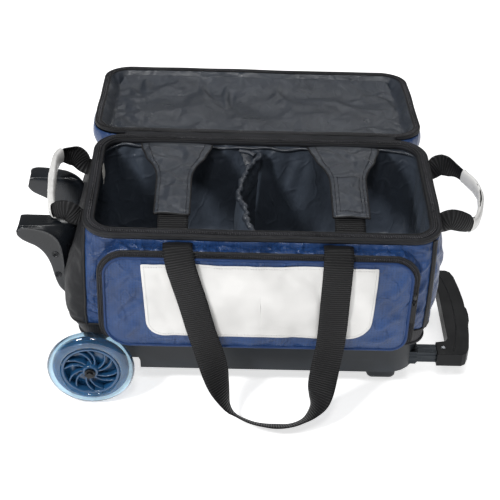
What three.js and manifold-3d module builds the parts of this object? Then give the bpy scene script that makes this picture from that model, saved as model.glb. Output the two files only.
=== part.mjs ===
// A two-ball roller bag for bowling balls, standing on its wheels and feet with the lid laid open.
// Units are millimetres. +X points to the pull handle, -X to the wheels, -Y to the front pocket, +Z up.
// Every shape is written in bag coordinates (Y = 0 on the bag's centre line); the last group moves the
// origin to the centre of the floor area that the open bag takes.

import * as THREE from 'three';
import { mergeVertices } from 'three/addons/utils/BufferGeometryUtils.js';
import Module from 'manifold-3d';

const wasm = await Module();
wasm.setup();

// ---------------------------------------------------------------- driving dimensions

const GAP = 0.3;                // clearance between neighbouring pieces
const ORIGIN = [-8, 86.4];      // bag coordinates of the floor area's centre

const WHEEL = { x: -242, y: 150, r: 63.5, hubR: 42.6, tyreHalf: 12 };
const AXLE_R = 4;
const BORE_R = AXLE_R + GAP;

const TRAY = { left: -257.5, right: 238.5, half: 116, floor: 36, top: 98.8, wall: 3 };
const TRAY_CORNERS = { left: 30, right: 45 };
const WELL_DEPTH_Y = 94;        // the wheel wells reach in to this distance from the centre line
const WELL_OUTLINE = [[-300, 20], [-172, 20], [-173, 50], [-182, 68], [-196, 84], [-215, 93], [-300, 93]];
const FOOT = { x0: 168, x1: 212, y0: 50, y1: 90 };

const TUBE = { y: 88, z: 51, sleeve: 23.4, stage1: 21.2, stage2: 19, wall: 0.8, left: -156 };
const GRIP = { socketX: 268.6, innerX: 288, half: 104, z0: 40, z1: 63 };

const RIM = { halfX: 250, halfY: 132, corner: 45, width: 16, z0: 281, z1: 291 };
const LID = { angle: 187, hingeY: 136, hingeZ: 291.2, z0: 291.3, ring: 6, top: 336.3, x: -4, halfX: 253 };
const BALL = { r: 108, z: 187, leftX: -144, rightX: 102 };
const POCKET = { x0: -218, x1: 209, z0: 111, z1: 264, front: -156, wall: 3 };
const WEBBING = 41;             // width of the carry straps
const FLAP_WEBBING = 43;

// Sections of the fabric body from bottom to top: z, left, right, front, back, corner radius.
const BODY = [
  [97, -262, 243, -122, 122, 30],
  [131.15, -273, 246, -132.5, 126.5, 30],
  [160, -277, 248, -136, 129, 30],
  [205, -272, 250, -136, 130, 32],
  [250, -260, 250, -133, 130, 36],
  [280.7, -249, 249, -131, 130, 42],
];
const SHELL_WALL = 4;
const LINING_WALL = 4;
const PANEL_CUTS = { left: -246, right: 236 };

// ---------------------------------------------------------------- materials

const material = (color, roughness, metalness = 0) =>
  new THREE.MeshStandardMaterial({ color, roughness, metalness });

const NAVY = material(0x2f4470, 0.75);
const BLACK_FABRIC = material(0x2b2a2c, 0.9);
const LINING = material(0x474c54, 0.6);
const CREAM = material(0xe8e6e0, 0.5);
const TRAY_PLASTIC = material(0x33373c, 0.5);
const LEG_PLASTIC = material(0x3a3f45, 0.4);
const TUBE_METAL = material(0x3d434a, 0.4, 0.6);
const STEEL = material(0x9a9da0, 0.35, 0.9);
const DARK_STEEL = material(0x3a3a3c, 0.4, 0.8);
const TYRE_BLUE = material(0x2f6ea0, 0.15);
const HUB_BLUE = material(0x24506f, 0.3);
const FOAM = material(0x2c2e32, 0.95);
const BOARD = material(0x26282b, 0.9);

// ---------------------------------------------------------------- booleans

function toSolid(geometry) {
  const bare = geometry.clone();
  bare.deleteAttribute('normal');
  bare.deleteAttribute('uv');
  const merged = mergeVertices(bare, 1e-4);
  return new wasm.Manifold(new wasm.Mesh({
    numProp: 3,
    vertProperties: new Float32Array(merged.attributes.position.array),
    triVerts: new Uint32Array(merged.index.array),
  }));
}

function toGeometry(solid) {
  const mesh = solid.getMesh();
  const geometry = new THREE.BufferGeometry();
  geometry.setAttribute('position', new THREE.BufferAttribute(mesh.vertProperties, 3));
  geometry.setIndex(new THREE.BufferAttribute(mesh.triVerts, 1));
  geometry.computeVertexNormals();
  return geometry;
}

function cut(geometry, ...cutters) {
  return toGeometry(cutters.reduce((rest, cutter) => rest.subtract(toSolid(cutter)), toSolid(geometry)));
}

function join(geometry, ...others) {
  return toGeometry(others.reduce((sum, other) => sum.add(toSolid(other)), toSolid(geometry)));
}

function common(a, b) {
  return toGeometry(toSolid(a).intersect(toSolid(b)));
}

// ---------------------------------------------------------------- shape helpers

function block(x0, x1, y0, y1, z0, z1) {
  return new THREE.BoxGeometry(x1 - x0, y1 - y0, z1 - z0)
    .translate((x0 + x1) / 2, (y0 + y1) / 2, (z0 + z1) / 2);
}

function cylinderY(x, z, r, y0, y1, segments) {
  return new THREE.CylinderGeometry(r, r, y1 - y0, segments).translate(x, (y0 + y1) / 2, z);
}

function polygon(points) {
  return new THREE.Shape(points.map(([x, y]) => new THREE.Vector2(x, y)));
}

// A closed outline of a box with round corners, counterclockwise; radii run from the right back corner.
function roundedOutline(x0, x1, y0, y1, radii, steps = 6) {
  const [rb, lb, lf, rf] = Array.isArray(radii) ? radii : [radii, radii, radii, radii];
  const corners = [
    [x1 - rb, y1 - rb, rb, 0],
    [x0 + lb, y1 - lb, lb, 1],
    [x0 + lf, y0 + lf, lf, 2],
    [x1 - rf, y0 + rf, rf, 3],
  ];
  const points = [];
  for (const [cx, cy, r, quarter] of corners) {
    for (let i = 0; i <= steps; i += 1) {
      const angle = (quarter + i / steps) * Math.PI / 2;
      points.push([cx + r * Math.cos(angle), cy + r * Math.sin(angle)]);
    }
  }
  return points;
}

function extrude(shape, depth) {
  return new THREE.ExtrudeGeometry(shape, { depth, bevelEnabled: false, curveSegments: 8 });
}

const BASIS_Y = new THREE.Matrix4().makeBasis(
  new THREE.Vector3(1, 0, 0), new THREE.Vector3(0, 0, 1), new THREE.Vector3(0, -1, 0));

function prismZ(points, z0, z1) {
  return extrude(polygon(points), z1 - z0).translate(0, 0, z0);
}

// A prism along Y from an outline in (x, z).
function prismY(points, y0, y1) {
  return extrude(polygon(points), y1 - y0).applyMatrix4(BASIS_Y).translate(0, y1, 0);
}

function ringZ(outer, inner, z0, z1) {
  const shape = polygon(outer);
  shape.holes.push(new THREE.Path(inner.map(([x, y]) => new THREE.Vector2(x, y))));
  return extrude(shape, z1 - z0).translate(0, 0, z0);
}

function flipped(geometry) {
  const index = geometry.index.array;
  for (let i = 0; i < index.length; i += 3) {
    [index[i + 1], index[i + 2]] = [index[i + 2], index[i + 1]];
  }
  geometry.computeVertexNormals();
  return geometry;
}

function mirrorY(geometry) {
  const mirrored = toGeometry(toSolid(geometry));
  mirrored.applyMatrix4(new THREE.Matrix4().makeScale(1, -1, 1));
  return flipped(mirrored);
}

function closedMesh(positions, triangles) {
  const geometry = new THREE.BufferGeometry();
  geometry.setAttribute('position', new THREE.Float32BufferAttribute(positions.flat(), 3));
  geometry.setIndex(triangles.flat());
  geometry.computeVertexNormals();
  return geometry;
}

// A solid through a stack of rings with equal point counts, counterclockwise from above, lowest ring first.
function loft(rings) {
  const n = rings[0].length;
  const positions = rings.flat();
  const triangles = [];
  for (let k = 0; k + 1 < rings.length; k += 1) {
    for (let i = 0; i < n; i += 1) {
      const j = (i + 1) % n;
      const [a, b, c, d] = [k * n + i, k * n + j, (k + 1) * n + j, (k + 1) * n + i];
      triangles.push([a, b, c], [a, c, d]);
    }
  }
  const top = (rings.length - 1) * n;
  for (let i = 1; i + 1 < n; i += 1) {
    triangles.push([0, i + 1, i], [top, top + i, top + i + 1]);
  }
  return closedMesh(positions, triangles);
}

// A strip of rectangular section along stations { at, across, width }: across is the width direction.
function strip(stations, thickness) {
  const positions = [];
  const last = stations.length - 1;
  stations.forEach(({ at, across, width }, i) => {
    const before = stations[Math.max(i - 1, 0)].at;
    const after = stations[Math.min(i + 1, last)].at;
    const along = after.clone().sub(before).normalize();
    const side = across.clone().addScaledVector(along, -across.dot(along)).normalize();
    const normal = along.clone().cross(side);
    for (const [s, t] of [[-1, -1], [1, -1], [1, 1], [-1, 1]]) {
      const p = at.clone().addScaledVector(side, s * width / 2).addScaledVector(normal, t * thickness / 2);
      positions.push([p.x, p.y, p.z]);
    }
  });
  const triangles = [[0, 1, 2], [0, 2, 3]];
  for (let i = 0; i < last; i += 1) {
    for (let k = 0; k < 4; k += 1) {
      const [a, b] = [i * 4 + k, i * 4 + (k + 1) % 4];
      triangles.push([a, b + 4, b], [a, a + 4, b + 4]);
    }
  }
  const e = last * 4;
  triangles.push([e, e + 2, e + 1], [e, e + 3, e + 2]);
  const geometry = closedMesh(positions, triangles);
  return toSolid(geometry).volume() > 0 ? geometry : flipped(geometry);
}

// Evenly spaced stations on a smooth curve through rows of [x, y, z, across x, across y, across z, width].
function stationsAlong(rows, count) {
  const path = new THREE.CatmullRomCurve3(rows.map(([x, y, z]) => new THREE.Vector3(x, y, z)));
  const side = new THREE.CatmullRomCurve3(rows.map((row) => new THREE.Vector3(row[3], row[4], row[5])));
  const stations = [];
  for (let i = 0; i <= count; i += 1) {
    const t = i / count;
    const place = t * (rows.length - 1);
    const k = Math.min(Math.floor(place), rows.length - 2);
    stations.push({
      at: path.getPoint(t),
      across: side.getPoint(t).normalize(),
      width: THREE.MathUtils.lerp(rows[k][6], rows[k + 1][6], place - k),
    });
  }
  return stations;
}

// ---------------------------------------------------------------- body sections

function bodyRow(z) {
  const k = Math.min(Math.max(BODY.findIndex((row) => row[0] >= z), 1), BODY.length - 1);
  const t = (z - BODY[k - 1][0]) / (BODY[k][0] - BODY[k - 1][0]);
  return BODY[k].map((value, i) => THREE.MathUtils.lerp(BODY[k - 1][i], value, t));
}

function bodyRing(z, inset) {
  const [, left, right, front, back, corner] = bodyRow(z);
  return roundedOutline(left + inset, right - inset, front + inset, back - inset, corner - inset)
    .map(([x, y]) => [x, y, z]);
}

function bodySolid(z0, z1, inset, overshoot = 0) {
  const levels = BODY.map((row) => row[0]).filter((z) => z > z0 + 0.5 && z < z1 - 0.5);
  const rings = [z0, ...levels, z1].map((z) => bodyRing(z, inset));
  rings[0] = rings[0].map(([x, y, z]) => [x, y, z - overshoot]);
  rings[rings.length - 1] = rings[rings.length - 1].map(([x, y, z]) => [x, y, z + overshoot]);
  return loft(rings);
}

// ---------------------------------------------------------------- base and running gear

function trayOutline(inset) {
  const { left, right } = TRAY_CORNERS;
  return roundedOutline(TRAY.left + inset, TRAY.right - inset, -TRAY.half + inset, TRAY.half - inset,
    [right - inset, left - inset, left - inset, right - inset]);
}

// Both wheel wells as solids, grown outwards by a wall thickness.
function wells(grow) {
  const outline = WELL_OUTLINE.map(([x, z]) => [x < -299 ? x : x + grow, z > 20 ? z + grow : z]);
  return [
    prismY(outline, -150, -WELL_DEPTH_Y + grow),
    prismY(outline, WELL_DEPTH_Y - grow, 150),
  ];
}

function baseTray() {
  const outer = prismZ(trayOutline(0), TRAY.floor, TRAY.top);
  const inner = prismZ(trayOutline(TRAY.wall), TRAY.floor + TRAY.wall, TRAY.top + 10);
  const lining = wells(TRAY.wall).map((well) => common(well, outer));
  const axleBosses = [-1, 1].map((side) => {
    const ends = [side * (WELL_DEPTH_Y - 2), side * (WHEEL.y - 12.6)].sort((a, b) => a - b);
    return cylinderY(WHEEL.x, WHEEL.r, 12, ...ends, 20);
  });
  const tubeHole = (TUBE.sleeve + 2 * GAP) / 2;
  const holes = [-TUBE.y, TUBE.y].map((y) =>
    block(TRAY.right - 20, TRAY.right + 20, y - tubeHole, y + tubeHole, TUBE.z - tubeHole, TUBE.z + tubeHole));
  const hollow = join(cut(outer, inner), ...lining);
  const open = cut(hollow, ...wells(0), ...holes);
  return cut(join(open, ...axleBosses), cylinderY(WHEEL.x, WHEEL.r, BORE_R, -200, 200, 16));
}

function foot(side) {
  const [y0, y1] = [side * FOOT.y0, side * FOOT.y1].sort((a, b) => a - b);
  const outline = roundedOutline(FOOT.x0, FOOT.x1, y0, y1, 8, 3);
  const sole = roundedOutline(FOOT.x0 + 3, FOOT.x1 - 3, y0 + 3, y1 - 3, 6, 3);
  return loft([[sole, 0], [outline, 5], [outline, TRAY.floor - GAP]]
    .map(([points, z]) => points.map(([x, y]) => [x, y, z])));
}

function tyre() {
  const half = WHEEL.tyreHalf;
  const profile = [[43, -9], [46.5, -11.4], [51.5, -half], [56.8, -10.7], [61.2, -7], [63.5, 0]];
  const back = profile.slice(0, -1).reverse().map(([r, y]) => [r, -y]);
  const loop = [...profile, ...back, profile[0]].map(([r, y]) => new THREE.Vector2(r, y));
  return new THREE.LatheGeometry(loop, 40);
}

function wheelHub() {
  const rim = new THREE.LatheGeometry(
    [[38.6, -9], [WHEEL.hubR, -9], [WHEEL.hubR, 9], [38.6, 9], [38.6, -9]]
      .map(([r, y]) => new THREE.Vector2(r, y)), 40);
  const core = new THREE.CylinderGeometry(11, 11, 22, 20);
  const spokes = [];
  const pairs = 6;
  for (let i = 0; i < pairs * 2; i += 1) {
    const start = (Math.floor(i / 2) + (i % 2) * 0.34) * 2 * Math.PI / pairs;
    const inner = new THREE.Vector2(9.5 * Math.cos(start), 9.5 * Math.sin(start));
    const outer = new THREE.Vector2(40 * Math.cos(start + 0.55), 40 * Math.sin(start + 0.55));
    const run = outer.clone().sub(inner);
    spokes.push(new THREE.BoxGeometry(run.length(), 14, 2.6)
      .rotateY(-run.angle())
      .translate((inner.x + outer.x) / 2, 0, (inner.y + outer.y) / 2));
  }
  return cut(join(core, rim, ...spokes), new THREE.CylinderGeometry(BORE_R, BORE_R, 60, 16));
}

function hubCap(side) {
  const y0 = WHEEL.y + 11.4;
  const cap = cylinderY(0, 0, 8, y0, y0 + 4, 20);
  const head = cylinderY(0, 0, 5.4, y0 + 3, y0 + 7.5, 6);
  const whole = cut(join(cap, head), cylinderY(0, 0, BORE_R, 0, y0 + 3, 16));
  const placed = whole.translate(WHEEL.x, 0, WHEEL.r);
  return side > 0 ? placed : mirrorY(placed);
}

// ---------------------------------------------------------------- pull handle

function squareTube(y, size, wall, x0, x1) {
  const half = size / 2;
  const bore = half - wall;
  return cut(
    block(x0, x1, y - half, y + half, TUBE.z - half, TUBE.z + half),
    block(x0 - 5, x1 + 5, y - bore, y + bore, TUBE.z - bore, TUBE.z + bore));
}

function gripBar() {
  const { socketX, innerX, half, z0, z1 } = GRIP;
  const outline = [[socketX, -half], [306, -half], [312.5, -half + 4], [317.5, -88], [322, -58],
    [325, -26], [325, 26], [322, 58], [317.5, 88], [312.5, half - 4], [306, half], [socketX, half],
    [socketX, 76], [innerX - 4, 73], [innerX, 66], [innerX, -66], [innerX - 4, -73], [socketX, -76]];
  const bar = prismZ(outline, z0, z1);
  const tubeBore = (TUBE.stage2 + 2 * GAP) / 2;
  const sockets = [-TUBE.y, TUBE.y].map((y) =>
    block(socketX - 5, 296.3, y - tubeBore, y + tubeBore, TUBE.z - tubeBore, TUBE.z + tubeBore));
  const screws = [-TUBE.y, TUBE.y].map((y) =>
    new THREE.CylinderGeometry(3.6, 3.6, 20, 16).rotateX(Math.PI / 2).translate(279, y, z1 + 8));
  const buttonSeat = block(314, 340, -20.5, 20.5, 45.2, 57.8);
  return cut(bar, ...sockets, ...screws, buttonSeat);
}

function gripButton() {
  const outline = [[317.7, -20], [326, -20], [329, -15], [330, 0], [329, 15], [326, 20], [317.7, 20]];
  return prismZ(outline, 45.7, 57.3);
}

function socketScrew(y) {
  return new THREE.CylinderGeometry(3.2, 3.2, 1.6, 16).rotateX(Math.PI / 2).translate(279, y, GRIP.z1 - 0.6);
}

// ---------------------------------------------------------------- stand legs

const LEG_OUTLINE = [[-240, 262], [-332, 262], [-341, 260], [-346, 254], [-346, 241], [-343, 236],
  [-335, 231], [-318, 221], [-307, 208], [-301, 190], [-298, 172], [-294, 156], [-287, 145],
  [-278, 139], [-240, 139]];
const LEG_Y = [45.5, 77.5];
const LEG_SCREWS = [[-287, 215], [-289, 172]];

function standLeg(side) {
  const [y0, y1] = LEG_Y;
  const bodyClear = bodySolid(97, 280.7, -0.5);
  const recesses = LEG_SCREWS.map(([x, z]) => cylinderY(x, z, 4.6, y1 - 3, y1 + 5, 16));
  const leg = cut(prismY(LEG_OUTLINE, y0, y1), bodyClear, ...recesses);
  return side > 0 ? leg : mirrorY(leg);
}

function legScrew(side, [x, z]) {
  const y1 = LEG_Y[1];
  const ends = [side * (y1 - 2.7), side * (y1 - 0.5)].sort((a, b) => a - b);
  return cylinderY(x, z, 3.6, ...ends, 16);
}

// ---------------------------------------------------------------- body and inside

function shellPanel(region) {
  const wall = cut(bodySolid(131.3, 280.7, 0), bodySolid(131.3, 280.7, SHELL_WALL, 1));
  return common(wall, region);
}

function kickBand() {
  return cut(bodySolid(97, 131, 0), bodySolid(97, 131, SHELL_WALL, 1));
}

function liningRing(z, inset) {
  return z <= 113
    ? trayOutline(TRAY.wall + 0.5 + inset).map(([x, y]) => [x, y, z])
    : bodyRing(z, SHELL_WALL + GAP + 0.1 + inset);
}

const LINING_LEVELS = [99.3, 112, 126, 160, 205, 250, 280.7];

// The space inside the lining, shrunk by an inset and run past the lining's ends by an overshoot.
function liningSpace(inset, overshoot) {
  const rings = LINING_LEVELS.map((z) => liningRing(z, LINING_WALL + inset));
  const last = rings.length - 1;
  rings[0] = rings[0].map(([x, y, z]) => [x, y, z - overshoot]);
  rings[last] = rings[last].map(([x, y, z]) => [x, y, z + overshoot]);
  return loft(rings);
}

function liningWall() {
  const outer = loft(LINING_LEVELS.map((z) => liningRing(z, 0)));
  return cut(outer, liningSpace(0, 1));
}

function rimBinding() {
  const { halfX, halfY, corner, width, z0, z1 } = RIM;
  return ringZ(roundedOutline(-halfX, halfX, -halfY, halfY, corner),
    roundedOutline(-halfX + width, halfX - width, -halfY + width, halfY - width, corner - width).reverse(),
    z0, z1);
}

function baseBoard() {
  const board = prismZ(trayOutline(TRAY.wall + 0.5), 63.2, 66.2);
  return cut(board, block(-300, -228, -150, 150, 50, 80), ...wells(TRAY.wall + 0.5));
}

function cradle(x0, x1, ballX) {
  const blockOutline = common(block(x0, x1, -112, 112, 66.5, 99), prismZ(trayOutline(TRAY.wall + 0.6), 60, 105));
  const recess = new THREE.SphereGeometry(BALL.r + 1.5, 28, 18).translate(ballX, 0, BALL.z);
  return cut(blockOutline, recess, ...wells(TRAY.wall + 0.5));
}

function divider() {
  const half = 2.5;
  const bow = [[-8, -130], [-10, -117], [-22, -80], [-31, -35], [-33, 0], [-29, 35], [-18, 78], [-6, 111],
    [-1, 125]];
  const outline = [...bow.map(([x, y]) => [x + half, y]), ...bow.map(([x, y]) => [x - half, y]).reverse()];
  return common(prismZ(outline, 99.7, 277), liningSpace(GAP, 0));
}

function flapRows(x, wide, narrow) {
  return [[113.6, 284, wide], [100, 290.5, wide], [74, 294.5, wide - 4], [46, 296.8, (wide + narrow) / 2],
    [18, 297.4, narrow + 6], [-8, 296.8, narrow], [-46, 294.6, narrow], [-82, 291, narrow]]
    .map(([y, z, width]) => [x, y, z, 1, 0, 0, width]);
}

function holdDownFlap(x, wide, narrow) {
  return strip(stationsAlong(flapRows(x, wide, narrow), 18), 3);
}

function flapWebbing(x) {
  const rows = [[-50, 291.6], [-72, 289.2], [-92, 284.5], [-106, 274.5], [-112, 260], [-114, 243]]
    .map(([y, z]) => [x, y, z, 1, 0, 0, FLAP_WEBBING]);
  return strip(stationsAlong(rows, 14), 1.6);
}

// A small label hangs from the inner edge of the rim.
function careLabel() {
  return block(-233.6, -232.8, 28, 52, 262, 287.6);
}

// ---------------------------------------------------------------- lid, built closed

function lidRing(grow, z) {
  const { x: midX, halfX } = LID;
  const { halfY, corner } = RIM;
  return roundedOutline(midX - halfX - grow, midX + halfX + grow, -halfY - grow, halfY + grow, corner + grow)
    .map(([x, y]) => [x, y, z]);
}

function lidSolid(inset, z0, zTop) {
  const stages = [[0, z0], [0, 308], [-2, 320], [-7, 330], [-14, zTop]];
  return loft(stages.map(([grow, z]) => lidRing(grow - inset, z)));
}

function lidShell() {
  const z0 = LID.z0 + LID.ring + GAP;
  return cut(lidSolid(0, z0, LID.top), lidSolid(4, z0 - 1, LID.top - 4));
}

function lidLining() {
  const z0 = LID.z0 + LID.ring + GAP + 0.4;
  const pad = lidSolid(4.4, z0, LID.top - 4.4);
  return cut(pad, loft([lidRing(-16, z0 - 1), lidRing(-19, 313)]));
}

function lidZip() {
  const outer = lidRing(0, 0).map(([x, y]) => [x, y]);
  const inner = lidRing(-15, 0).map(([x, y]) => [x, y]).reverse();
  return ringZ(outer, inner, LID.z0, LID.z0 + LID.ring);
}

function hingeTape() {
  return block(-205, 205, RIM.halfY + GAP, LID.hingeY + 3.4, 287.6, 290.6);
}

// ---------------------------------------------------------------- front pocket

function pocketOutline(grow) {
  const { x0, x1, z0, z1 } = POCKET;
  return roundedOutline(x0 - grow, x1 + grow, z0 - grow, z1 + grow,
    [30 + grow, 30 + grow, 36 + grow, 22 + grow]);
}

function pocketShell() {
  const { front, wall } = POCKET;
  const outer = join(
    prismY(pocketOutline(0), front + 5, -118),
    prismY(pocketOutline(-2.2), front + 1.6, front + 6),
    prismY(pocketOutline(-5), front, front + 3));
  const inner = prismY(pocketOutline(-wall - 2), front + wall, -110);
  return cut(outer, inner, bodySolid(97, 280.7, -0.4));
}

// The light panel narrows a little towards its foot.
function pocketPanel() {
  const outline = roundedOutline(-167, 160, 133, 257, [0.5, 0.5, 24, 32]).map(([x, z]) => {
    const down = (257 - z) / 124;
    return [x < 0 ? x + 8 * down : x - 4 * down * down, z];
  });
  return prismY(outline, POCKET.front - 1.5, POCKET.front - GAP);
}

function pocketZip() {
  return cut(prismY(pocketOutline(8.5), -147, -118), prismY(pocketOutline(GAP), -170, -100),
    block(-300, 300, -200, -100, 90, 124), bodySolid(97, 280.7, -0.4));
}

function zipSlider() {
  return block(210.2, 217, -154, -147.4, 200, 212);
}

function zipPull() {
  const outline = roundedOutline(209.4, 217.8, 158, 197.3, 3, 3);
  return prismY(outline, -151.8, -149.4);
}

// ---------------------------------------------------------------- straps and end handles

const FRONT_STRAP = [
  [-116.6, -141.5, 278, 1, 0, 0], [-116.4, -145.5, 278, 1, 0, 0], [-115, -152, 272, 1, 0, 0],
  [-111, -160, 255, 1, 0, 0.05], [-104, -161.6, 230, 1, 0, 0.1], [-94, -162.4, 194, 1, 0, 0.12],
  [-83, -163.5, 150, 1, 0, 0.15], [-72.5, -165.5, 115, 1, 0, 0.2], [-63.5, -170, 85, 1, 0.05, 0.22],
  [-53.5, -180, 54, 0.8, 0.5, 0.1], [-43, -191, 33, 0.45, 0.85, -0.2], [-29, -200, 20, 0.15, 0.87, -0.46],
  [-10, -206, 14.5, 0.05, 0.86, -0.5], [9, -209.5, 12.3, 0, 0.86, -0.51], [29, -211, 12, 0, 0.86, -0.51],
  [50, -209, 12.6, 0, 0.86, -0.51], [68, -202.5, 16, -0.1, 0.87, -0.46], [81, -192, 28, -0.5, 0.8, -0.1],
  [88, -185, 46, -0.85, 0.45, 0.1], [93, -176, 70, -1, 0.1, 0.15], [97, -168.5, 95, -1, 0, 0.12],
  [100.5, -164.6, 125, -1, 0, 0.08], [102, -163, 160, -1, 0, 0.03], [102.5, -162, 205, -1, 0, 0],
  [103, -161, 240, -1, 0, 0], [103.3, -158.4, 262, -1, 0, 0], [103.5, -151, 273, -1, 0, 0],
  [103.5, -145.5, 278, -1, 0, 0], [103.5, -141.5, 278, -1, 0, 0]]
  .map((row) => [...row, WEBBING]);

const REAR_STRAP = [
  [-112, 134.6, 236, 1, 0, 0], [-112, 136.5, 190, 1, 0, 0], [-108, 138, 140, 1, 0, 0.04],
  [-98, 140, 92, 1, 0, 0.15], [-80, 146, 52, 0.9, -0.2, 0.35], [-56, 158, 26, 0.4, -0.8, 0.2],
  [-24, 165, 15.5, 0.05, -0.9, -0.43], [0, 167, 13.5, 0, -0.9, -0.43], [24, 165, 15.5, -0.05, -0.9, -0.43],
  [56, 158, 26, -0.4, -0.8, 0.2], [80, 146, 52, -0.9, -0.2, 0.35], [98, 140, 92, -1, 0, 0.15],
  [108, 138, 140, -1, 0, 0.04], [112, 136.5, 190, -1, 0, 0], [112, 134.6, 236, -1, 0, 0]]
  .map((row) => [...row, WEBBING]);

const RIGHT_HANDLE = [[254, 74, 283, 36], [268, 76, 283, 36], [282, 72, 281.5, 34], [292, 64, 280, 20],
  [304, 46, 278, 18], [315, 26, 275.5, 18], [319.5, 4, 272.5, 18], [316.5, -20, 268.5, 18], [309.5, -42, 265, 20],
  [298, -58, 267, 26], [280, -67, 278, 34], [254, -67, 285, 36]];
const LEFT_HANDLE = [[-260, 72, 284, 36], [-272, 75, 285, 36], [-286, 72, 286.5, 32], [-297, 63, 289, 20],
  [-303, 44, 288.5, 18], [-303.5, 18, 286, 18], [-302.5, -10, 281.5, 18], [-300, -36, 276.5, 18],
  [-297, -54, 274.5, 20], [-287, -64, 278.5, 28], [-272, -67, 282.5, 35], [-260, -67, 283, 36]];

const upright = (rows, extra = 0) => rows.map(([x, y, z, width]) => [x, y, z, 0, 0, 1, width + extra]);

// The sewn end of the front carry strap, fixed under the rim.
function strapRoot(x) {
  return block(x - WEBBING / 2, x + WEBBING / 2, -140.7, -131.8, 276.4, 278.8);
}

function carryStrap(rows) {
  return strip(stationsAlong(rows, 56), 2.4);
}

function endHandle(rows) {
  return strip(stationsAlong(upright(rows), 44), 2);
}

// The light sleeve that wraps the middle of an end handle.
function gripSleeve(rows) {
  const all = stationsAlong(upright(rows), 44);
  const middle = all.slice(10, 36).map(({ at, across }) => ({ at, across, width: 24 }));
  const core = all.slice(7, 39).map(({ at, across, width }) => ({ at, across, width: width + 2 * GAP }));
  return cut(strip(middle, 8), strip(core, 2 + 2 * GAP));
}

// ---------------------------------------------------------------- assembly

const bag = new THREE.Group();
bag.name = 'bowling_ball_bag';
const frame = new THREE.Group();
frame.position.set(-ORIGIN[0], -ORIGIN[1], 0);
bag.add(frame);

function add(name, geometry, look, parent = frame) {
  const mesh = new THREE.Mesh(geometry, look);
  mesh.name = name;
  parent.add(mesh);
  return mesh;
}

const SIDES = [['front', -1], ['rear', 1]];

add('base_tray', baseTray(), TRAY_PLASTIC);
add('axle', cylinderY(WHEEL.x, WHEEL.r, AXLE_R, -WHEEL.y - 14, WHEEL.y + 14, 16), STEEL);
for (const [place, side] of SIDES) {
  add(`foot_${place}`, foot(side), TRAY_PLASTIC);
  add(`tyre_${place}`, tyre(), TYRE_BLUE).position.set(WHEEL.x, side * WHEEL.y, WHEEL.r);
  add(`wheel_hub_${place}`, wheelHub(), HUB_BLUE).position.set(WHEEL.x, side * WHEEL.y, WHEEL.r);
  add(`hub_cap_${place}`, hubCap(side), DARK_STEEL);
  const y = side * TUBE.y;
  add(`outer_sleeve_${place}`, squareTube(y, TUBE.sleeve, TUBE.wall, TUBE.left, TRAY.right - 0.2), DARK_STEEL);
  add(`stage1_tube_${place}`, squareTube(y, TUBE.stage1, TUBE.wall, TUBE.left + 4, TRAY.right + 1.5), TUBE_METAL);
  add(`stage2_tube_${place}`, squareTube(y, TUBE.stage2, 1.2, TUBE.left + 8, 296), TUBE_METAL);
  add(`socket_screw_${place}`, socketScrew(y), STEEL);
  add(`stand_leg_${place}`, standLeg(side), LEG_PLASTIC);
  LEG_SCREWS.forEach((spot, i) => add(`leg_screw_${place}_${i + 1}`, legScrew(side, spot), STEEL));
}
add('pull_grip', gripBar(), LEG_PLASTIC);
add('grip_button', gripButton(), LEG_PLASTIC);

const { left, right } = PANEL_CUTS;
add('kick_band', kickBand(), BLACK_FABRIC);
add('panel_front', shellPanel(block(left, right, -200, 0, 90, 300)), NAVY);
add('panel_back', shellPanel(block(left, right, GAP, 200, 90, 300)), NAVY);
add('panel_left_end', shellPanel(block(-400, left - GAP, -200, 200, 90, 300)), BLACK_FABRIC);
add('panel_right_end', shellPanel(block(right + GAP, 400, -200, 200, 90, 300)), NAVY);
add('lining_wall', liningWall(), LINING);
add('rim_binding', rimBinding(), BLACK_FABRIC);
add('base_board', baseBoard(), BOARD);
add('cradle_left', cradle(-226, -26, BALL.leftX), FOAM);
add('cradle_right', cradle(-16, 240, BALL.rightX), FOAM);
add('divider', divider(), LINING);
add('flap_left', holdDownFlap(-127, 106, 49), LINING);
add('flap_right', holdDownFlap(124, 106, 51), LINING);
add('flap_webbing_left', flapWebbing(-125), BLACK_FABRIC);
add('flap_webbing_right', flapWebbing(122), BLACK_FABRIC);
add('care_label', careLabel(), CREAM);

// The lid is drawn closed about its hinge, then turned open to where it rests behind the bag.
const lid = new THREE.Group();
lid.position.set(0, LID.hingeY, LID.hingeZ);
lid.rotation.x = -LID.angle * Math.PI / 180;
frame.add(lid);
const fromHinge = (geometry) => geometry.translate(0, -LID.hingeY, -LID.hingeZ);
add('lid_shell', fromHinge(lidShell()), NAVY, lid);
add('lid_lining', fromHinge(lidLining()), LINING, lid);
add('lid_zip', fromHinge(lidZip()), BLACK_FABRIC, lid);
add('hinge_tape', hingeTape(), BLACK_FABRIC);

add('pocket_shell', pocketShell(), NAVY);
add('pocket_panel', pocketPanel(), CREAM);
add('pocket_zip', pocketZip(), BLACK_FABRIC);
add('zip_slider', zipSlider(), DARK_STEEL);
add('zip_pull', zipPull(), BLACK_FABRIC);

add('strap_root_left', strapRoot(-116.6), BLACK_FABRIC);
add('strap_root_right', strapRoot(103.5), BLACK_FABRIC);
add('carry_strap_front', carryStrap(FRONT_STRAP), BLACK_FABRIC);
add('carry_strap_rear', carryStrap(REAR_STRAP), BLACK_FABRIC);
add('end_handle_right', endHandle(RIGHT_HANDLE), BLACK_FABRIC);
add('end_handle_left', endHandle(LEFT_HANDLE), BLACK_FABRIC);
add('end_grip_right', gripSleeve(RIGHT_HANDLE), CREAM);
add('end_grip_left', gripSleeve(LEFT_HANDLE), CREAM);

export default bag;
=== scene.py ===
import math

import bmesh
import bpy
import numpy as np
from mathutils import Matrix, Vector, noise


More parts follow.
